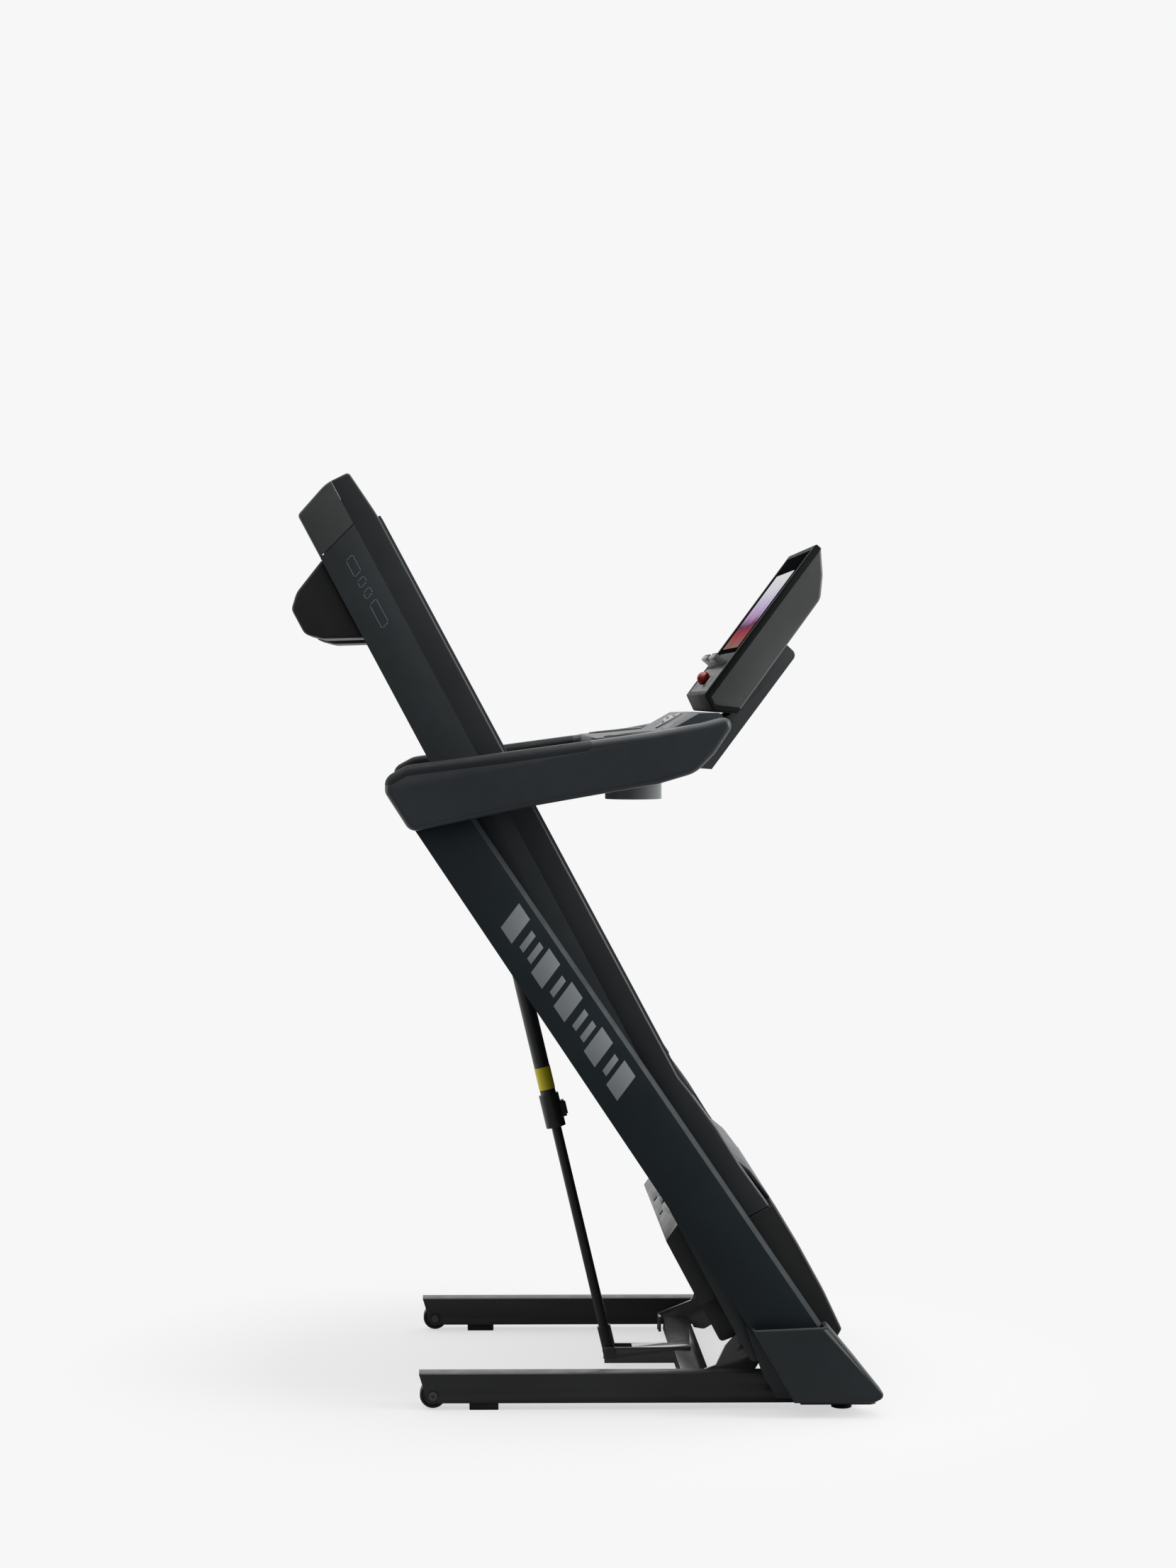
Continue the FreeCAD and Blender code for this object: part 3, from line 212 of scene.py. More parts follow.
def ribbed(name, colour, roughness, direction, pitch):
    """Rubber strip with fine ribs that repeat along a direction."""
    material, nodes, links, shader, place = new_material(name)
    dot = nodes.new("ShaderNodeVectorMath")
    dot.operation = "DOT_PRODUCT"
    dot.inputs[1].default_value = direction * (2 * math.pi / pitch)
    links.new(place, dot.inputs[0])
    wave = nodes.new("ShaderNodeMath")
    wave.operation = "SINE"
    links.new(dot.outputs["Value"], wave.inputs[0])
    grain = noise(nodes, links, place, 600.0, 2.0)
    colour_out = blend_colours(nodes, links, remap(nodes, links, grain, 0, 1),
                               scaled(colour, 0.85), scaled(colour, 1.15))
    links.new(colour_out, shader.inputs["Base Color"])
    links.new(remap(nodes, links, grain, roughness - 0.05, roughness + 0.05), shader.inputs["Roughness"])
    bump(nodes, links, wave.outputs["Value"], 0.0006, 0.5, shader)
    return material


def glossy(name, colour, roughness=0.12, coat=0.6):
    """Smooth lacquered or moulded surface with faint swirl marks."""
    material, nodes, links, shader, place = new_material(name)
    swirl = noise(nodes, links, place, 70.0, 6.0)
    colour_out = blend_colours(nodes, links, remap(nodes, links, swirl, 0, 1),
                               scaled(colour, 0.9), scaled(colour, 1.1))
    links.new(colour_out, shader.inputs["Base Color"])
    links.new(remap(nodes, links, swirl, roughness, roughness + 0.08), shader.inputs["Roughness"])
    shader.inputs["Coat Weight"].default_value = coat
    shader.inputs["Coat Roughness"].default_value = 0.05
    return material


def board_wood(name):
    material, nodes, links, shader, place = new_material(name)
    streaks = noise(nodes, links, place, 22.0, 8.0, (1, 14, 1))
    colour_out = blend_colours(nodes, links, remap(nodes, links, streaks, 0, 1),
                               srgb(36, 34, 32), srgb(54, 50, 46))
    links.new(colour_out, shader.inputs["Base Color"])
    links.new(remap(nodes, links, streaks, 0.5, 0.65), shader.inputs["Roughness"])
    bump(nodes, links, streaks, 0.0003, 0.3, shader)
    return material


def lit_picture(name, height):
    """An abstract picture on the screen: pale sky, a lilac band and a warm streak."""
    material, nodes, links, shader, place = new_material(name)
    parts = nodes.new("ShaderNodeSeparateXYZ")
    links.new(place, parts.inputs["Vector"])
    warp = noise(nodes, links, place, 14.0, 4.0)
    lifted = nodes.new("ShaderNodeMath")
    lifted.operation = "MULTIPLY_ADD"
    lifted.inputs[1].default_value = 0.22
    links.new(warp, lifted.inputs[0])
    climb = remap(nodes, links, parts.outputs["X"], -0.1, 0.9, -height / 2, height / 2)
    links.new(climb, lifted.inputs[2])
    ramp = nodes.new("ShaderNodeValToRGB")
    stops = ramp.color_ramp.elements
    stops[0].position = 0.0
    stops[0].color = (*srgb(150, 120, 110), 1)
    stops[1].position = 1.0
    stops[1].color = (*srgb(248, 248, 250), 1)
    for position, colour in ((0.18, (176, 70, 74)), (0.3, (120, 60, 90)), (0.42, (196, 160, 205)),
                             (0.6, (214, 200, 232)), (0.78, (238, 236, 244))):
        stop = stops.new(position)
        stop.color = (*srgb(*colour), 1)
    links.new(lifted.outputs["Value"], ramp.inputs["Fac"])
    links.new(ramp.outputs["Color"], shader.inputs["Emission Color"])
    shader.inputs["Base Color"].default_value = (*srgb(30, 30, 34), 1)
    shader.inputs["Emission Strength"].default_value = 0.72
    shader.inputs["Roughness"].default_value = 0.3
    shader.inputs["Specular IOR Level"].default_value = 0.0
    return material


UPRIGHT_COLOUR = srgb(39, 47, 52)
FRAME_COLOUR = srgb(42, 48, 51)

MATERIALS = {
    "upright_paint": moulded("upright_paint", UPRIGHT_COLOUR, 0.45, 1400, 0.00006, 0.2, specular=0.2),
    "frame_paint": moulded("frame_paint", FRAME_COLOUR, 0.38, 1400, 0.00008, 0.3, coat=0.15),
    "base_paint": moulded("base_paint", srgb(38, 39, 40), 0.4, 1200, 0.0001, 0.35, coat=0.1),
    "cover_plastic": moulded("cover_plastic", srgb(38, 44, 47), 0.45, 950, 0.00018, 0.45),
    "rail_plastic": moulded("rail_plastic", srgb(48, 52, 55), 0.42, 950, 0.00018, 0.45),
    "handrail_plastic": moulded("handrail_plastic", srgb(52, 57, 61), 0.38, 950, 0.00015, 0.4),
    "console_plastic": moulded("console_plastic", srgb(90, 92, 91), 0.42, 950, 0.00015, 0.4),
    "bezel_plastic": moulded("bezel_plastic", srgb(15, 17, 18), 0.6, 950, 0.00015, 0.4, specular=0.2),
    "panel_plastic": moulded("panel_plastic", srgb(46, 47, 47), 0.4, 950, 0.00015, 0.4, specular=0.4),
    "ledge_plastic": moulded("ledge_plastic", srgb(132, 136, 137), 0.42, 950, 0.00015, 0.4),
    "spine_plastic": moulded("spine_plastic", srgb(66, 70, 71), 0.42, 950, 0.00015, 0.4),
    "cup_plastic": moulded("cup_plastic", srgb(108, 112, 114), 0.34, 950, 0.00015, 0.4),
    "black_bolt": moulded("black_bolt", srgb(66, 67, 68), 0.28, 900, 0.0001, 0.3, coat=0.2),
    "dark_plastic": moulded("dark_plastic", srgb(30, 31, 32), 0.45, 900, 0.0002, 0.5),
    "leg_plastic": moulded("leg_plastic", srgb(24, 25, 26), 0.5, 700, 0.0003, 0.6),
    "cap_plastic": moulded("cap_plastic", srgb(68, 71, 70), 0.46, 900, 0.0002, 0.5),
    "pan_paint": moulded("pan_paint", srgb(62, 63, 64), 0.3, 1200, 0.00003, 0.15, specular=0.16),
    "lift_paint": moulded("lift_paint", srgb(70, 70, 70), 0.18, 1200, 0.00002, 0.1, coat=1.0, specular=1.0),
    "soft_grip": moulded("soft_grip", srgb(34, 37, 39), 0.6, 520, 0.0004, 0.6, specular=0.4),
    "foot_rubber": moulded("foot_rubber", srgb(26, 26, 27), 0.75, 420, 0.0004, 0.7, specular=0.3),
    "wheel_plastic": glossy("wheel_plastic", srgb(30, 30, 31), 0.3, 0.1),
    "vent_plastic": moulded("vent_plastic", srgb(196, 198, 198), 0.4, 900, 0.00015, 0.4),
    "graphic": moulded("graphic", srgb(150, 155, 158), 0.45, 1500, 0.00004, 0.2, spread=0.05),
    "faint_graphic": moulded("faint_graphic", srgb(100, 108, 112), 0.45, 1500, 0.00004, 0.2, spread=0.05),
    "yellow_label": moulded("yellow_label", srgb(226, 212, 40), 0.4, 1500, 0.00004, 0.2, spread=0.05),
    "belt_rubber": belt_rubber("belt_rubber"),
    "strip_rubber": ribbed("strip_rubber", srgb(40, 43, 45), 0.55, Vector((0, 1, 0)), 0.006),
    "bright_steel": brushed("bright_steel", srgb(170, 172, 175), 0.3),
    "dark_steel": brushed("dark_steel", srgb(70, 72, 75), 0.35),
    "board_wood": board_wood("board_wood"),
    "motor_paint": moulded("motor_paint", srgb(44, 46, 50), 0.5, 500, 0.0004, 0.6),
    "heat_sink": brushed("heat_sink", srgb(150, 153, 156), 0.4),
    "circuit_green": glossy("circuit_green", srgb(24, 92, 52), 0.3, 0.4),
    "key_red": glossy("key_red", srgb(150, 14, 18), 0.16, 0.7),
    "button_green": glossy("button_green", srgb(48, 150, 82), 0.2, 0.5),
    "button_red": glossy("button_red", srgb(190, 40, 36), 0.2, 0.5),
    "button_grey": glossy("button_grey", srgb(104, 108, 112), 0.25, 0.4),
    "icon_white": glossy("icon_white", srgb(225, 228, 230), 0.3, 0.2),
    "black_glass": moulded("black_glass", srgb(14, 15, 16), 0.25, 900, 0.00002, 0.1, specular=0.0),
}


# ------------------------------------------------------------------ mesh helpers

def paint(piece, material_name):
    piece.data.materials.clear()
    piece.data.materials.append(MATERIALS[material_name])


def bake_modifiers(piece):
    """Turns the modified shape into the piece's own mesh."""
    bpy.context.view_layer.update()
    graph = bpy.context.evaluated_depsgraph_get()
    mesh = bpy.data.meshes.new_from_object(piece.evaluated_get(graph))
    piece.modifiers.clear()
    piece.data = mesh


def smooth(mesh, angle=32):
    mesh.shade_smooth()
    mesh.set_sharp_from_angle(angle=math.radians(angle))


def round_edges(piece, width, segments=2, angle=28):
    bevel = piece.modifiers.new("bevel", "BEVEL")
    bevel.width = width
    bevel.segments = segments
    bevel.limit_method = "ANGLE"
    bevel.angle_limit = math.radians(angle)
    bevel.use_clamp_overlap = True
    bevel.harden_normals = False
    bake_modifiers(piece)
    smooth(piece.data)


def new_piece(name, mesh, material_name, body):
    piece = bpy.data.objects.new(name, mesh)
    bpy.context.scene.collection.objects.link(piece)
    paint(piece, material_name)
    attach(piece, body)
    return piece


def clean_copy(node):
    """The node's mesh, welded, with flat areas as single faces."""
    mesh = NODES[node].data.copy()
    shape = bmesh.new()
    shape.from_mesh(mesh)
    bmesh.ops.remove_doubles(shape, verts=shape.verts, dist=0.00002)
    bmesh.ops.dissolve_limit(shape, angle_limit=math.radians(0.6), verts=shape.verts, edges=shape.edges)
    shape.to_mesh(mesh)
    shape.free()
    return mesh


def soften_node(node, material_name, width, segments=2, angle=28):
    """A copy of a CAD node with its edges rounded, which stands for the node."""
    piece = new_piece(f"{node}_shell", clean_copy(node), material_name, BODY_OF[node])
    round_edges(piece, width * MM, segments, angle)
    paint(piece, material_name)
    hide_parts(node)
    return piece


def bar(name, basis, low, high, material_name, body, width=0.5, shear=0.0, shear_from=None):
    """A block between two corners given along a basis; shear leans its first direction."""
    base = low[2] if shear_from is None else shear_from
    shape = bmesh.new()
    bmesh.ops.create_cube(shape, size=1)
    for vertex in shape.verts:
        first, second, third = (low[i] + (high[i] - low[i]) * (vertex.co[i] + 0.5) for i in range(3))
        first += shear * (third - base)
        vertex.co = point(basis, first, second, third)
    bmesh.ops.recalc_face_normals(shape, faces=shape.faces)
    mesh = bpy.data.meshes.new(name)
    shape.to_mesh(mesh)
    shape.free()
    piece = new_piece(name, mesh, material_name, body)
    round_edges(piece, width * MM)
    paint(piece, material_name)
    return piece


def lathe(name, profile, centre, axis, material_name, body, steps=64):
    """A turned piece: profile is (distance along the axis, radius), closed round its own outline."""
    turn = Vector((0, 0, 1)).rotation_difference(axis).to_matrix()
    shape = bmesh.new()
    rings = []
    for distance, radius in profile:
        ring = []
        for step in range(steps):
            angle = 2 * math.pi * step / steps
            spot = Vector((radius * math.cos(angle), radius * math.sin(angle), distance))
            ring.append(shape.verts.new(centre + turn @ spot))
        rings.append(ring)
    for index, ring in enumerate(rings):
        following = rings[(index + 1) % len(rings)]
        for step in range(steps):
            after = (step + 1) % steps
            shape.faces.new((ring[step], ring[after], following[after], following[step]))
    bmesh.ops.recalc_face_normals(shape, faces=shape.faces)
    mesh = bpy.data.meshes.new(name)
    shape.to_mesh(mesh)
    shape.free()
    smooth(mesh)
    return new_piece(name, mesh, material_name, body)


def middle(node):
    low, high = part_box(node)
    return (low + high) / 2


# ------------------------------------------------------------------ parts whose edges are rounded

SOFTENED = {
    "upright_left": ("upright_paint", 0.5), "upright_right": ("upright_paint", 0.5),
    "base_rail_left": ("base_paint", 1.2), "base_rail_right": ("base_paint", 1.2),
    "base_front_tube": ("base_paint", 1.5), "foot_covers": ("cover_plastic", 1.6),
    "handrail_left": ("handrail_plastic", 1.4), "handrail_right": ("handrail_plastic", 1.4),
    "handrail_grips": ("soft_grip", 1.4), "console_base": ("handrail_plastic", 1.5),
    "cup_holders": ("cup_plastic", 0.8), "console_spine": ("spine_plastic", 1.6),
    "console_shell": ("console_plastic", 1.0), "console_bezel": ("bezel_plastic", 0.8),
    "control_panel": ("panel_plastic", 0.4), "tablet_ledge": ("ledge_plastic", 0.8),
    "lift_frame": ("lift_paint", 1.0), "deck_rails": ("frame_paint", 2.0),
    "foot_rails": ("rail_plastic", 0.8), "rear_caps": ("cap_plastic", 0.5), "hood": ("dark_plastic", 2.0),
    "landing_cover": ("rail_plastic", 1.2), "belly_pan": ("pan_paint", 1.5),
    "rear_legs": ("leg_plastic", 2.5), "deck_cross_members": ("frame_paint", 1.0),
    "rubber_feet": ("foot_rubber", 1.5), "strut_tube": ("base_paint", 0.8),
    "strut_latch": ("dark_plastic", 0.8), "power_inlet": ("dark_plastic", 0.6),
    "fan_grille": ("vent_plastic", 0.7), "motor_controller": ("heat_sink", 0.6),
    "motor_housing": ("motor_paint", 1.5), "motor_rotor": ("dark_steel", 0.8),
    "power_switch": ("button_grey", 0.8), "safety_key": ("key_red", 1.0),
}
KEPT = {
    "frame_bolts": "black_bolt", "pivot_pins": "black_bolt", "strut_rod": "base_paint",
    "running_belt": "belt_rubber", "running_board": "board_wood", "board_cushions": "foot_rubber",
    "front_roller": "bright_steel", "rear_roller": "bright_steel", "roller_shafts": "dark_steel",
    "drive_belt": "belt_rubber", "incline_actuator": "motor_paint", "incline_screw": "bright_steel",
    "fan_motor": "motor_paint", "fan_wheel": "dark_plastic", "console_board": "circuit_green",
}


def dress_nodes():
    for node, (material_name, width) in SOFTENED.items():
        soften_node(node, material_name, width)
    for node, material_name in KEPT.items():
        paint(NODES[node], material_name)


# ------------------------------------------------------------------ wheels

def wheels():
    for side in ("left", "right"):
        node = f"wheel_{side}"
        low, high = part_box(node)
        half = (high.y - low.y) / 2
        radius = (high.z - low.z) / 2
        bore = radius * 0.18
        groove = radius - 0.0016
        profile = [(-half, bore), (-half, radius * 0.5), (-half + 0.003, radius * 0.55),
                   (-half + 0.003, radius * 0.78), (-half, radius * 0.83), (-half, radius * 0.94),
                   (-half + 0.002, radius), (-0.004, radius), (-0.003, groove), (0.003, groove),
                   (0.004, radius), (half - 0.002, radius), (half, radius * 0.94), (half, radius * 0.83),
                   (half - 0.003, radius * 0.78), (half - 0.003, radius * 0.55), (half, radius * 0.5),
                   (half, bore)]
        wheel = lathe(f"{node}_tyre", profile, middle(node), Vector((0, 1, 0)), "wheel_plastic",
                      BODY_OF[node])
        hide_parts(node)


# ------------------------------------------------------------------ graphics

MARK_LEAN = 0.35            # how far a mark leans along, for each unit of height
MARK_SUNK = 0.9995          # share of the face's distance at which a mark starts
MARK_RISE = 0.0004
UPRIGHT_BARS = (34, 12, 12, 34, 12, 34, 12, 12, 34, 12, 34)
UPRIGHT_BAR_GAP = 12
UPRIGHT_MARK_CENTRE = 0.192
WIDE_BAR = 20
WIDE_HALF_HEIGHT, NARROW_HALF_HEIGHT = 0.025, 0.017


def face_thickness(face, side):
    """The reach across, in rising order, of a thin mark on a face."""
    return sorted((face * MARK_SUNK, face + side * MARK_RISE))


def upright_graphics():
    """A row of slanted bars on the outer face of each upright."""
    low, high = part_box("upright_right")
    centre = (low.z + high.z) / 2
    length = (sum(UPRIGHT_BARS) + UPRIGHT_BAR_GAP * (len(UPRIGHT_BARS) - 1)) * MM
    face = {-1: low.y, 1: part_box("upright_left")[1].y}
    lengthwise, square = UPRIGHT[0], UPRIGHT[2]
    body_middle = Vector(((low.x + high.x) / 2, 0, centre))
    start = body_middle.dot(lengthwise) + UPRIGHT_MARK_CENTRE + length / 2
    across = body_middle.dot(square)
    for side, name in ((-1, "right"), (1, "left")):
        reach = start
        thickness = face_thickness(face[side], side)
        for index, width in enumerate(UPRIGHT_BARS):
            half_height = WIDE_HALF_HEIGHT if width > WIDE_BAR else NARROW_HALF_HEIGHT
            bar(f"upright_mark_{name}_{index}", UPRIGHT,
                (reach - width * MM, thickness[0], across - half_height),
                (reach, thickness[1], across + half_height),
                "graphic", "root", 0.1, shear=MARK_LEAN)
            reach -= (width + UPRIGHT_BAR_GAP) * MM


DECK_MARK_LOW, DECK_MARK_HIGH = 0.014, 0.031       # above the fold pivot
DECK_MARK_CELLS = ((186, 48), (128, 14), (106, 14), (84, 34))      # start before the rear end, width
DECK_MARK_LINE = 0.0018


def deck_graphics():
    """Thin slanted outlines near the rear end of each deck rail."""
    back_high = span("deck_rails", DECK[0])[1]
    pivot = Vector(JOINTS["deck_fold"]["pos_m"]).dot(DECK[2])
    bottom, top = pivot + DECK_MARK_LOW, pivot + DECK_MARK_HIGH
    for side, name in ((-1, "right"), (1, "left")):
        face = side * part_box("deck_rails")[1].y
        thickness = face_thickness(face, side)
        for index, (start, width) in enumerate(DECK_MARK_CELLS):
            low = back_high - start * MM
            high = low + width * MM
            line = DECK_MARK_LINE
            for stroke, (left, right, under, over) in enumerate((
                    (low, low + line, bottom, top), (high - line, high, bottom, top),
                    (low, high, bottom, bottom + line), (low, high, top - line, top))):
                bar(f"deck_mark_{name}_{index}_{stroke}", DECK, (left, thickness[0], under),
                    (right, thickness[1], over), "faint_graphic", "deck", 0.05,
                    shear=MARK_LEAN, shear_from=bottom)


# ------------------------------------------------------------------ console face

PICTURE_SHARE = 0.95       # the lit part of the display, inside its dark margin


def console_face():
    face = span("screen_glass", OUT)[1]
    screen = span("display_panel", CONSOLE[0])
    screen_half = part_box("display_panel")[1].y

    pane = soften_node("screen_glass", "black_glass", 0.6)
    pane.name = "screen_glass_pane"
    width = screen_half * 2 * PICTURE_SHARE
    height = (screen[1] - screen[0]) * PICTURE_SHARE
    MATERIALS["screen_picture"] = lit_picture("screen_picture", height)
    centre = point(CONSOLE, (screen[0] + screen[1]) / 2, 0, face + 0.0002)
    turn = Matrix((CONSOLE[0], CONSOLE[1], CONSOLE[2])).transposed().to_4x4()
    mesh = bpy.data.meshes.new("screen_picture")
    shape = bmesh.new()
    bmesh.ops.create_cube(shape, size=1)
    for vertex in shape.verts:
        vertex.co = Vector((vertex.co.x * height, vertex.co.y * width, vertex.co.z * 0.0006))
    shape.to_mesh(mesh)
    shape.free()
    picture = bpy.data.objects.new("screen_picture", mesh)
    bpy.context.scene.collection.objects.link(picture)
    picture.matrix_world = Matrix.Translation(centre) @ turn
    paint(picture, "screen_picture")
    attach(picture, "root")
    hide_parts("display_panel")


def ledge_strip():
    """A rubber strip on the upper side of the tablet ledge, either side of its notch."""
    high = span("tablet_ledge", CONSOLE[0])[1]
    out_high = span("tablet_ledge", OUT)[1]
    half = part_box("tablet_ledge")[1].y
    for side, name in ((-1, "right"), (1, "left")):
        reach = sorted((side * 0.03, side * (half - 0.006)))
        bar(f"ledge_strip_{name}", CONSOLE, (high - 0.001, reach[0], out_high - 0.0085),
            (high + 0.0022, reach[1], out_high - 0.001), "foot_rubber", "root", 0.5)


BUTTON_LOOKS = {"start_button": "button_green", "stop_button": "button_red",
                "speed_up_button": "button_grey", "speed_down_button": "button_grey",
                "incline_up_button": "button_grey", "incline_down_button": "button_grey"}


def buttons():
    for node, material_name in BUTTON_LOOKS.items():
        low, high = span(node, OUT)
        centre = middle(node)
        half = (high - low) / 2
        radius = (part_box(node)[1].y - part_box(node)[0].y) / 2
        profile = [(-half, 0.0004), (-half, radius * 0.96), (half - 0.0018, radius * 0.97),
                   (half - 0.0007, radius * 0.93), (half, radius * 0.84), (half - 0.0008, radius * 0.6),
                   (half - 0.0012, 0.0004)]
        cap = lathe(f"{node}_cap", profile, centre, OUT, material_name, BODY_OF[node], 48)
        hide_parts(node)
        icon(node, centre, half - 0.0014, radius)


def icon(node, centre, height, radius):
    """A plain sign on a button: a triangle, a square, a plus or a minus."""
    size = radius * 0.42
    here = tuple(centre.dot(direction) for direction in CONSOLE)
    depth = (here[2] + height, here[2] + height + 0.0009)
    strokes = []
    if node == "stop_button":
        strokes.append((size, size))
    if node.endswith(("up_button", "down_button")):
        strokes.append((size * 0.22, size))
    if node.endswith("up_button"):
        strokes.append((size, size * 0.22))
    if node == "start_button":
        for step in range(4):
            share = 1 - step / 4
            low_side = here[1] - size + step * size / 2
            bar(f"{node}_sign_{step}", CONSOLE, (here[0] - size * share, low_side, depth[0]),
                (here[0] + size * share, low_side + size / 2, depth[1]), "icon_white",
                BODY_OF[node], 0.05)
    for index, (tall, wide) in enumerate(strokes):
        bar(f"{node}_sign_{index}", CONSOLE, (here[0] - tall, here[1] - wide, depth[0]),
            (here[0] + tall, here[1] + wide, depth[1]), "icon_white", BODY_OF[node], 0.05)


# ------------------------------------------------------------------ strut details

BAND_INNER, BAND_OUTER = 0.0139, 0.0151            # just under and over the tube's surface


def strut_details():
    """The label low on the strut's tube, and a band near its upper end."""
    low, high = span("strut_tube", STRUT[0])
    line = Vector(JOINTS["strut_swing"]["pos_m"]).dot(STRUT[2])
    bands = (("strut_label", low + 0.072, 0.042), ("strut_top_mark", high - 0.075, 0.012))
    for name, start, height in bands:
        profile = [(0, BAND_INNER), (0, BAND_OUTER), (height, BAND_OUTER), (height, BAND_INNER)]
        lathe(name, profile, point(STRUT, start, 0, line), STRUT[0], "yellow_label", "strut_tube")


# ------------------------------------------------------------------ deck details

FOOT_RAIL_WIDTH = 0.0775
RIB_COUNT = 6
RIB_MARGIN = 0.021          # from the foot rail's edges to the outermost ribs
RIB_HALF_WIDTH = 0.0022
RIB_START, RIB_END = 0.31, 0.1      # from the foot rail's front and rear ends
CREST_RISE = 0.012          # from the belt up to the foot rail's crest


def deck_details():
    """Ribbed strips on the foot rails."""
    back_low, back_high = span("foot_rails", DECK[0])
    rail_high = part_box("foot_rails")[1].y
    crest = span("running_belt", DECK[2])[1] + CREST_RISE
    first = rail_high - FOOT_RAIL_WIDTH + RIB_MARGIN
    pitch = (rail_high - RIB_MARGIN - first) / (RIB_COUNT - 1)
    for side, name in ((-1, "right"), (1, "left")):
        for index in range(RIB_COUNT):
            y = side * (first + pitch * index)
            bar(f"foot_rail_rib_{name}_{index}", DECK,
                (back_low + RIB_START, y - RIB_HALF_WIDTH, crest - 0.0012),
                (back_high - RIB_END, y + RIB_HALF_WIDTH, crest + 0.0004),
                "strip_rubber", "deck", 0.3)


# ------------------------------------------------------------------ stage, light and camera

BACKDROP = 0.93             # brightness of the seamless white behind and below
FLOOR_RADIUS = 6.0
FLOOR_SHADOW = 0.35         # share of the floor's look that takes light and shadow
FLOOR_FADE = (0.55, 0.98)   # distances from the middle between which the floor blends into white


def mix_shaders(nodes, links, factor, first, second):
    mix = nodes.new("ShaderNodeMixShader")
    if isinstance(factor, float):
        mix.inputs["Fac"].default_value = factor
    else:
        links.new(factor, mix.inputs["Fac"])
    links.new(first, mix.inputs[1])
    links.new(second, mix.inputs[2])
    return mix.outputs["Shader"]


def stage_floor():
    bpy.ops.mesh.primitive_circle_add(vertices=96, radius=FLOOR_RADIUS, fill_type="NGON",
                                      location=(0, 0, 0))
    floor = bpy.context.object
    floor.name = "floor"
    material = bpy.data.materials.new("floor_white")
    material.use_nodes = True
    nodes, links = material.node_tree.nodes, material.node_tree.links
    nodes.remove(nodes["Principled BSDF"])
    lit = nodes.new("ShaderNodeBsdfDiffuse")
    lit.inputs["Color"].default_value = (0.8, 0.8, 0.8, 1)
    glow = nodes.new("ShaderNodeEmission")
    glow.inputs["Color"].default_value = (BACKDROP, BACKDROP, BACKDROP, 1)
    pale = mix_shaders(nodes, links, FLOOR_SHADOW, glow.outputs["Emission"], lit.outputs["BSDF"])
    dim = nodes.new("ShaderNodeBsdfDiffuse")
    dim.inputs["Color"].default_value = (0.3, 0.3, 0.3, 1)
    ray = nodes.new("ShaderNodeLightPath")
    shown = mix_shaders(nodes, links, ray.outputs["Is Camera Ray"], dim.outputs["BSDF"], pale)
    place = nodes.new("ShaderNodeTexCoord").outputs["Object"]
    length = nodes.new("ShaderNodeVectorMath")
    length.operation = "LENGTH"
    links.new(place, length.inputs[0])
    fade = remap(nodes, links, length.outputs["Value"], 0, 1, *FLOOR_FADE)
    clear = nodes.new("ShaderNodeBsdfTransparent")
    surface = mix_shaders(nodes, links, fade, shown, clear.outputs["BSDF"])
    links.new(surface, nodes["Material Output"].inputs["Surface"])
    floor.data.materials.append(material)


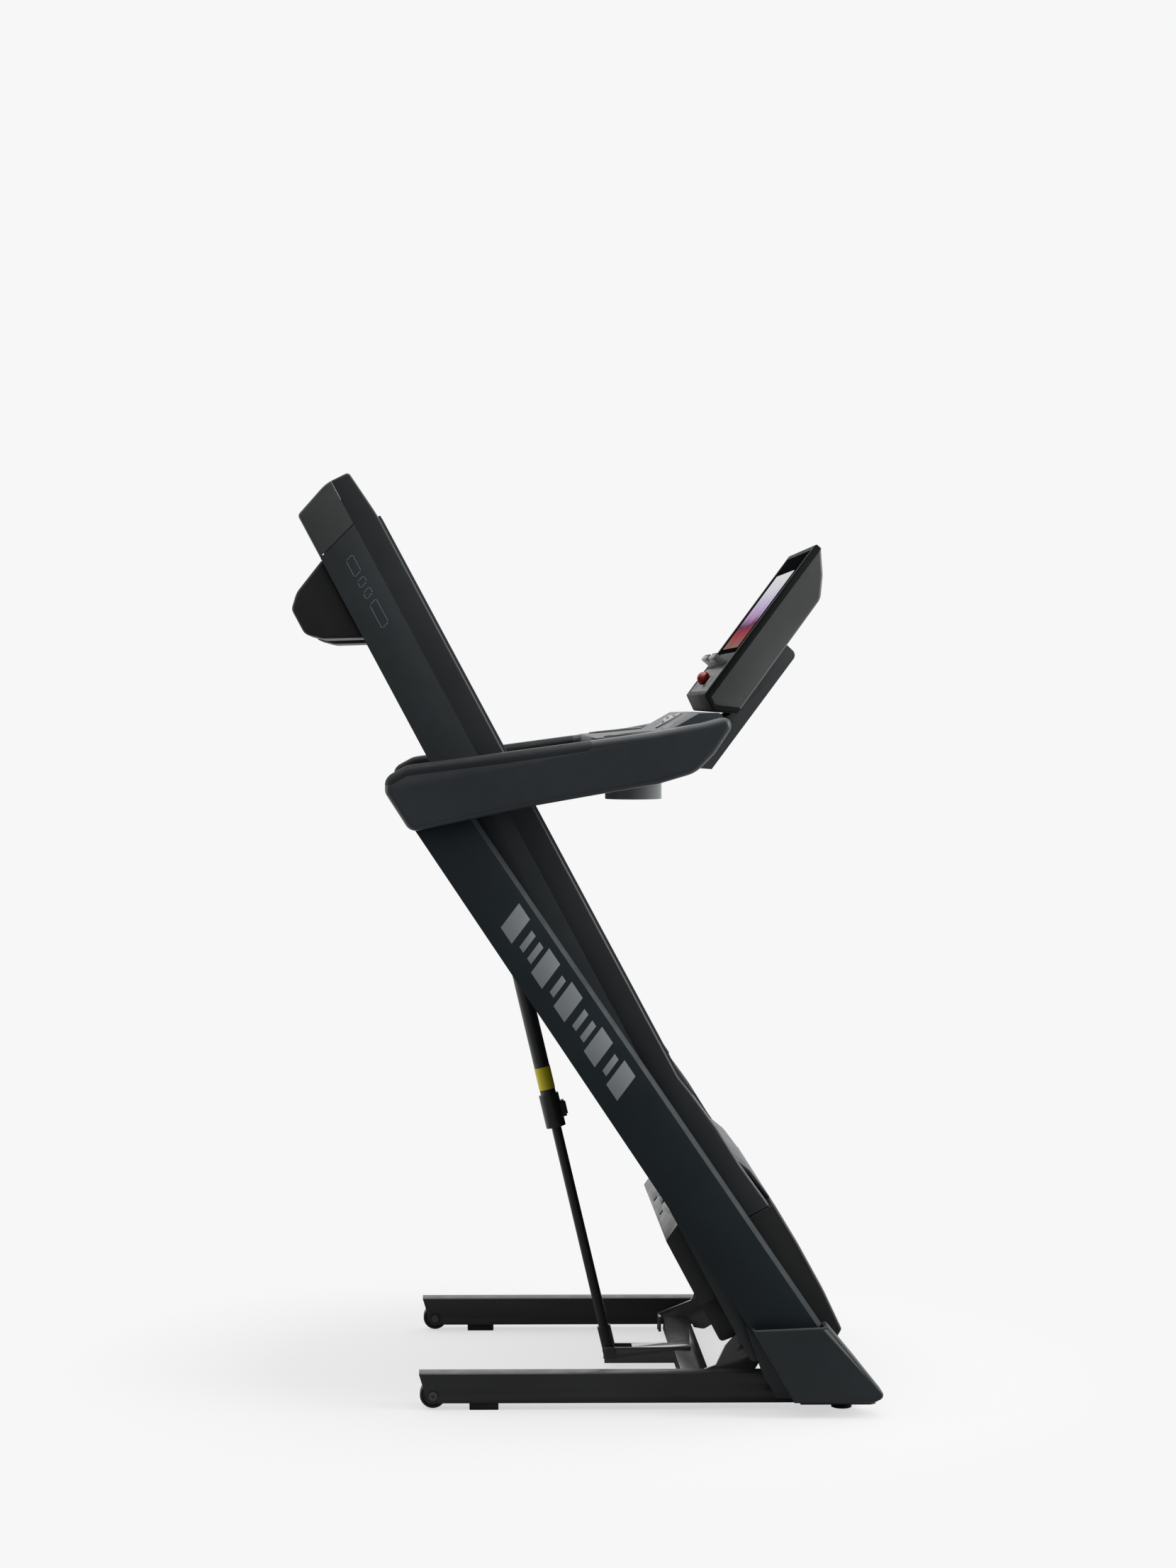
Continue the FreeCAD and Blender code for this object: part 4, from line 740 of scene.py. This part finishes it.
def world_light():
    """White studio: bright above and behind the machine, dimmer on the camera's side."""
    world = bpy.data.worlds.new("studio")
    bpy.context.scene.world = world
    world.use_nodes = True
    nodes, links = world.node_tree.nodes, world.node_tree.links
    nodes.clear()
    output = nodes.new("ShaderNodeOutputWorld")
    place = nodes.new("ShaderNodeTexCoord").outputs["Generated"]
    parts = nodes.new("ShaderNodeSeparateXYZ")
    links.new(place, parts.inputs["Vector"])
    depth = remap(nodes, links, parts.outputs["Y"], 0.16, 1.0, -0.55, 0.35)
    lift = remap(nodes, links, parts.outputs["Z"], 0.0, 1.0, 0.15, 0.9)
    brightest = nodes.new("ShaderNodeMath")
    brightest.operation = "MAXIMUM"
    links.new(depth, brightest.inputs[0])
    links.new(lift, brightest.inputs[1])
    studio = nodes.new("ShaderNodeBackground")
    studio.inputs["Color"].default_value = (1, 1, 1, 1)
    links.new(brightest.outputs["Value"], studio.inputs["Strength"])
    seen = nodes.new("ShaderNodeBackground")
    seen.inputs["Color"].default_value = (BACKDROP, BACKDROP, BACKDROP, 1)
    ray = nodes.new("ShaderNodeLightPath")
    mix = nodes.new("ShaderNodeMixShader")
    links.new(ray.outputs["Is Camera Ray"], mix.inputs["Fac"])
    links.new(studio.outputs["Background"], mix.inputs[1])
    links.new(seen.outputs["Background"], mix.inputs[2])
    links.new(mix.outputs["Shader"], output.inputs["Surface"])


def area_light(name, location, target, size, power):
    light = bpy.data.lights.new(name, "AREA")
    light.shape = "RECTANGLE"
    light.size, light.size_y = size
    light.energy = power
    lamp = bpy.data.objects.new(name, light)
    bpy.context.scene.collection.objects.link(lamp)
    lamp.location = location
    lamp.rotation_euler = (Vector(target) - Vector(location)).to_track_quat("-Z", "Y").to_euler()
    return lamp


AREA_LIGHTS = {                # location, target, size and power
    "top_light": ((0.2, 0.0, 3.6), (0, 0, 0.6), (3.0, 3.0), 34),
    "front_light": ((3.2, -1.0, 2.0), (0.1, 0, 0.8), (1.2, 2.4), 80),
    "rear_light": ((-3.2, -0.6, 1.6), (0.0, 0, 0.9), (1.0, 2.4), 14),
}


def lights():
    world_light()
    for name, (location, target, size, power) in AREA_LIGHTS.items():
        area_light(name, location, target, size, power)


CAMERA_PLACE = Vector((-0.2276, -5.655, 1.2405))
CAMERA_LENS = 69.5
CAMERA_SHIFT = (0.0857, -0.0524)
CAMERA_ROLL = 0.17


def camera():
    data = bpy.data.cameras.new("camera")
    data.lens = CAMERA_LENS
    data.sensor_width = 36
    data.shift_x, data.shift_y = CAMERA_SHIFT
    data.clip_end = 60
    lens = bpy.data.objects.new("camera", data)
    bpy.context.scene.collection.objects.link(lens)
    lens.location = CAMERA_PLACE
    lens.rotation_euler = (math.radians(90), math.radians(CAMERA_ROLL), 0)
    bpy.context.scene.camera = lens
    bpy.context.scene.view_settings.view_transform = "Standard"


camera()
lights()
stage_floor()
dress_nodes()
wheels()
upright_graphics()
deck_graphics()
console_face()
ledge_strip()
buttons()
strut_details()
deck_details()
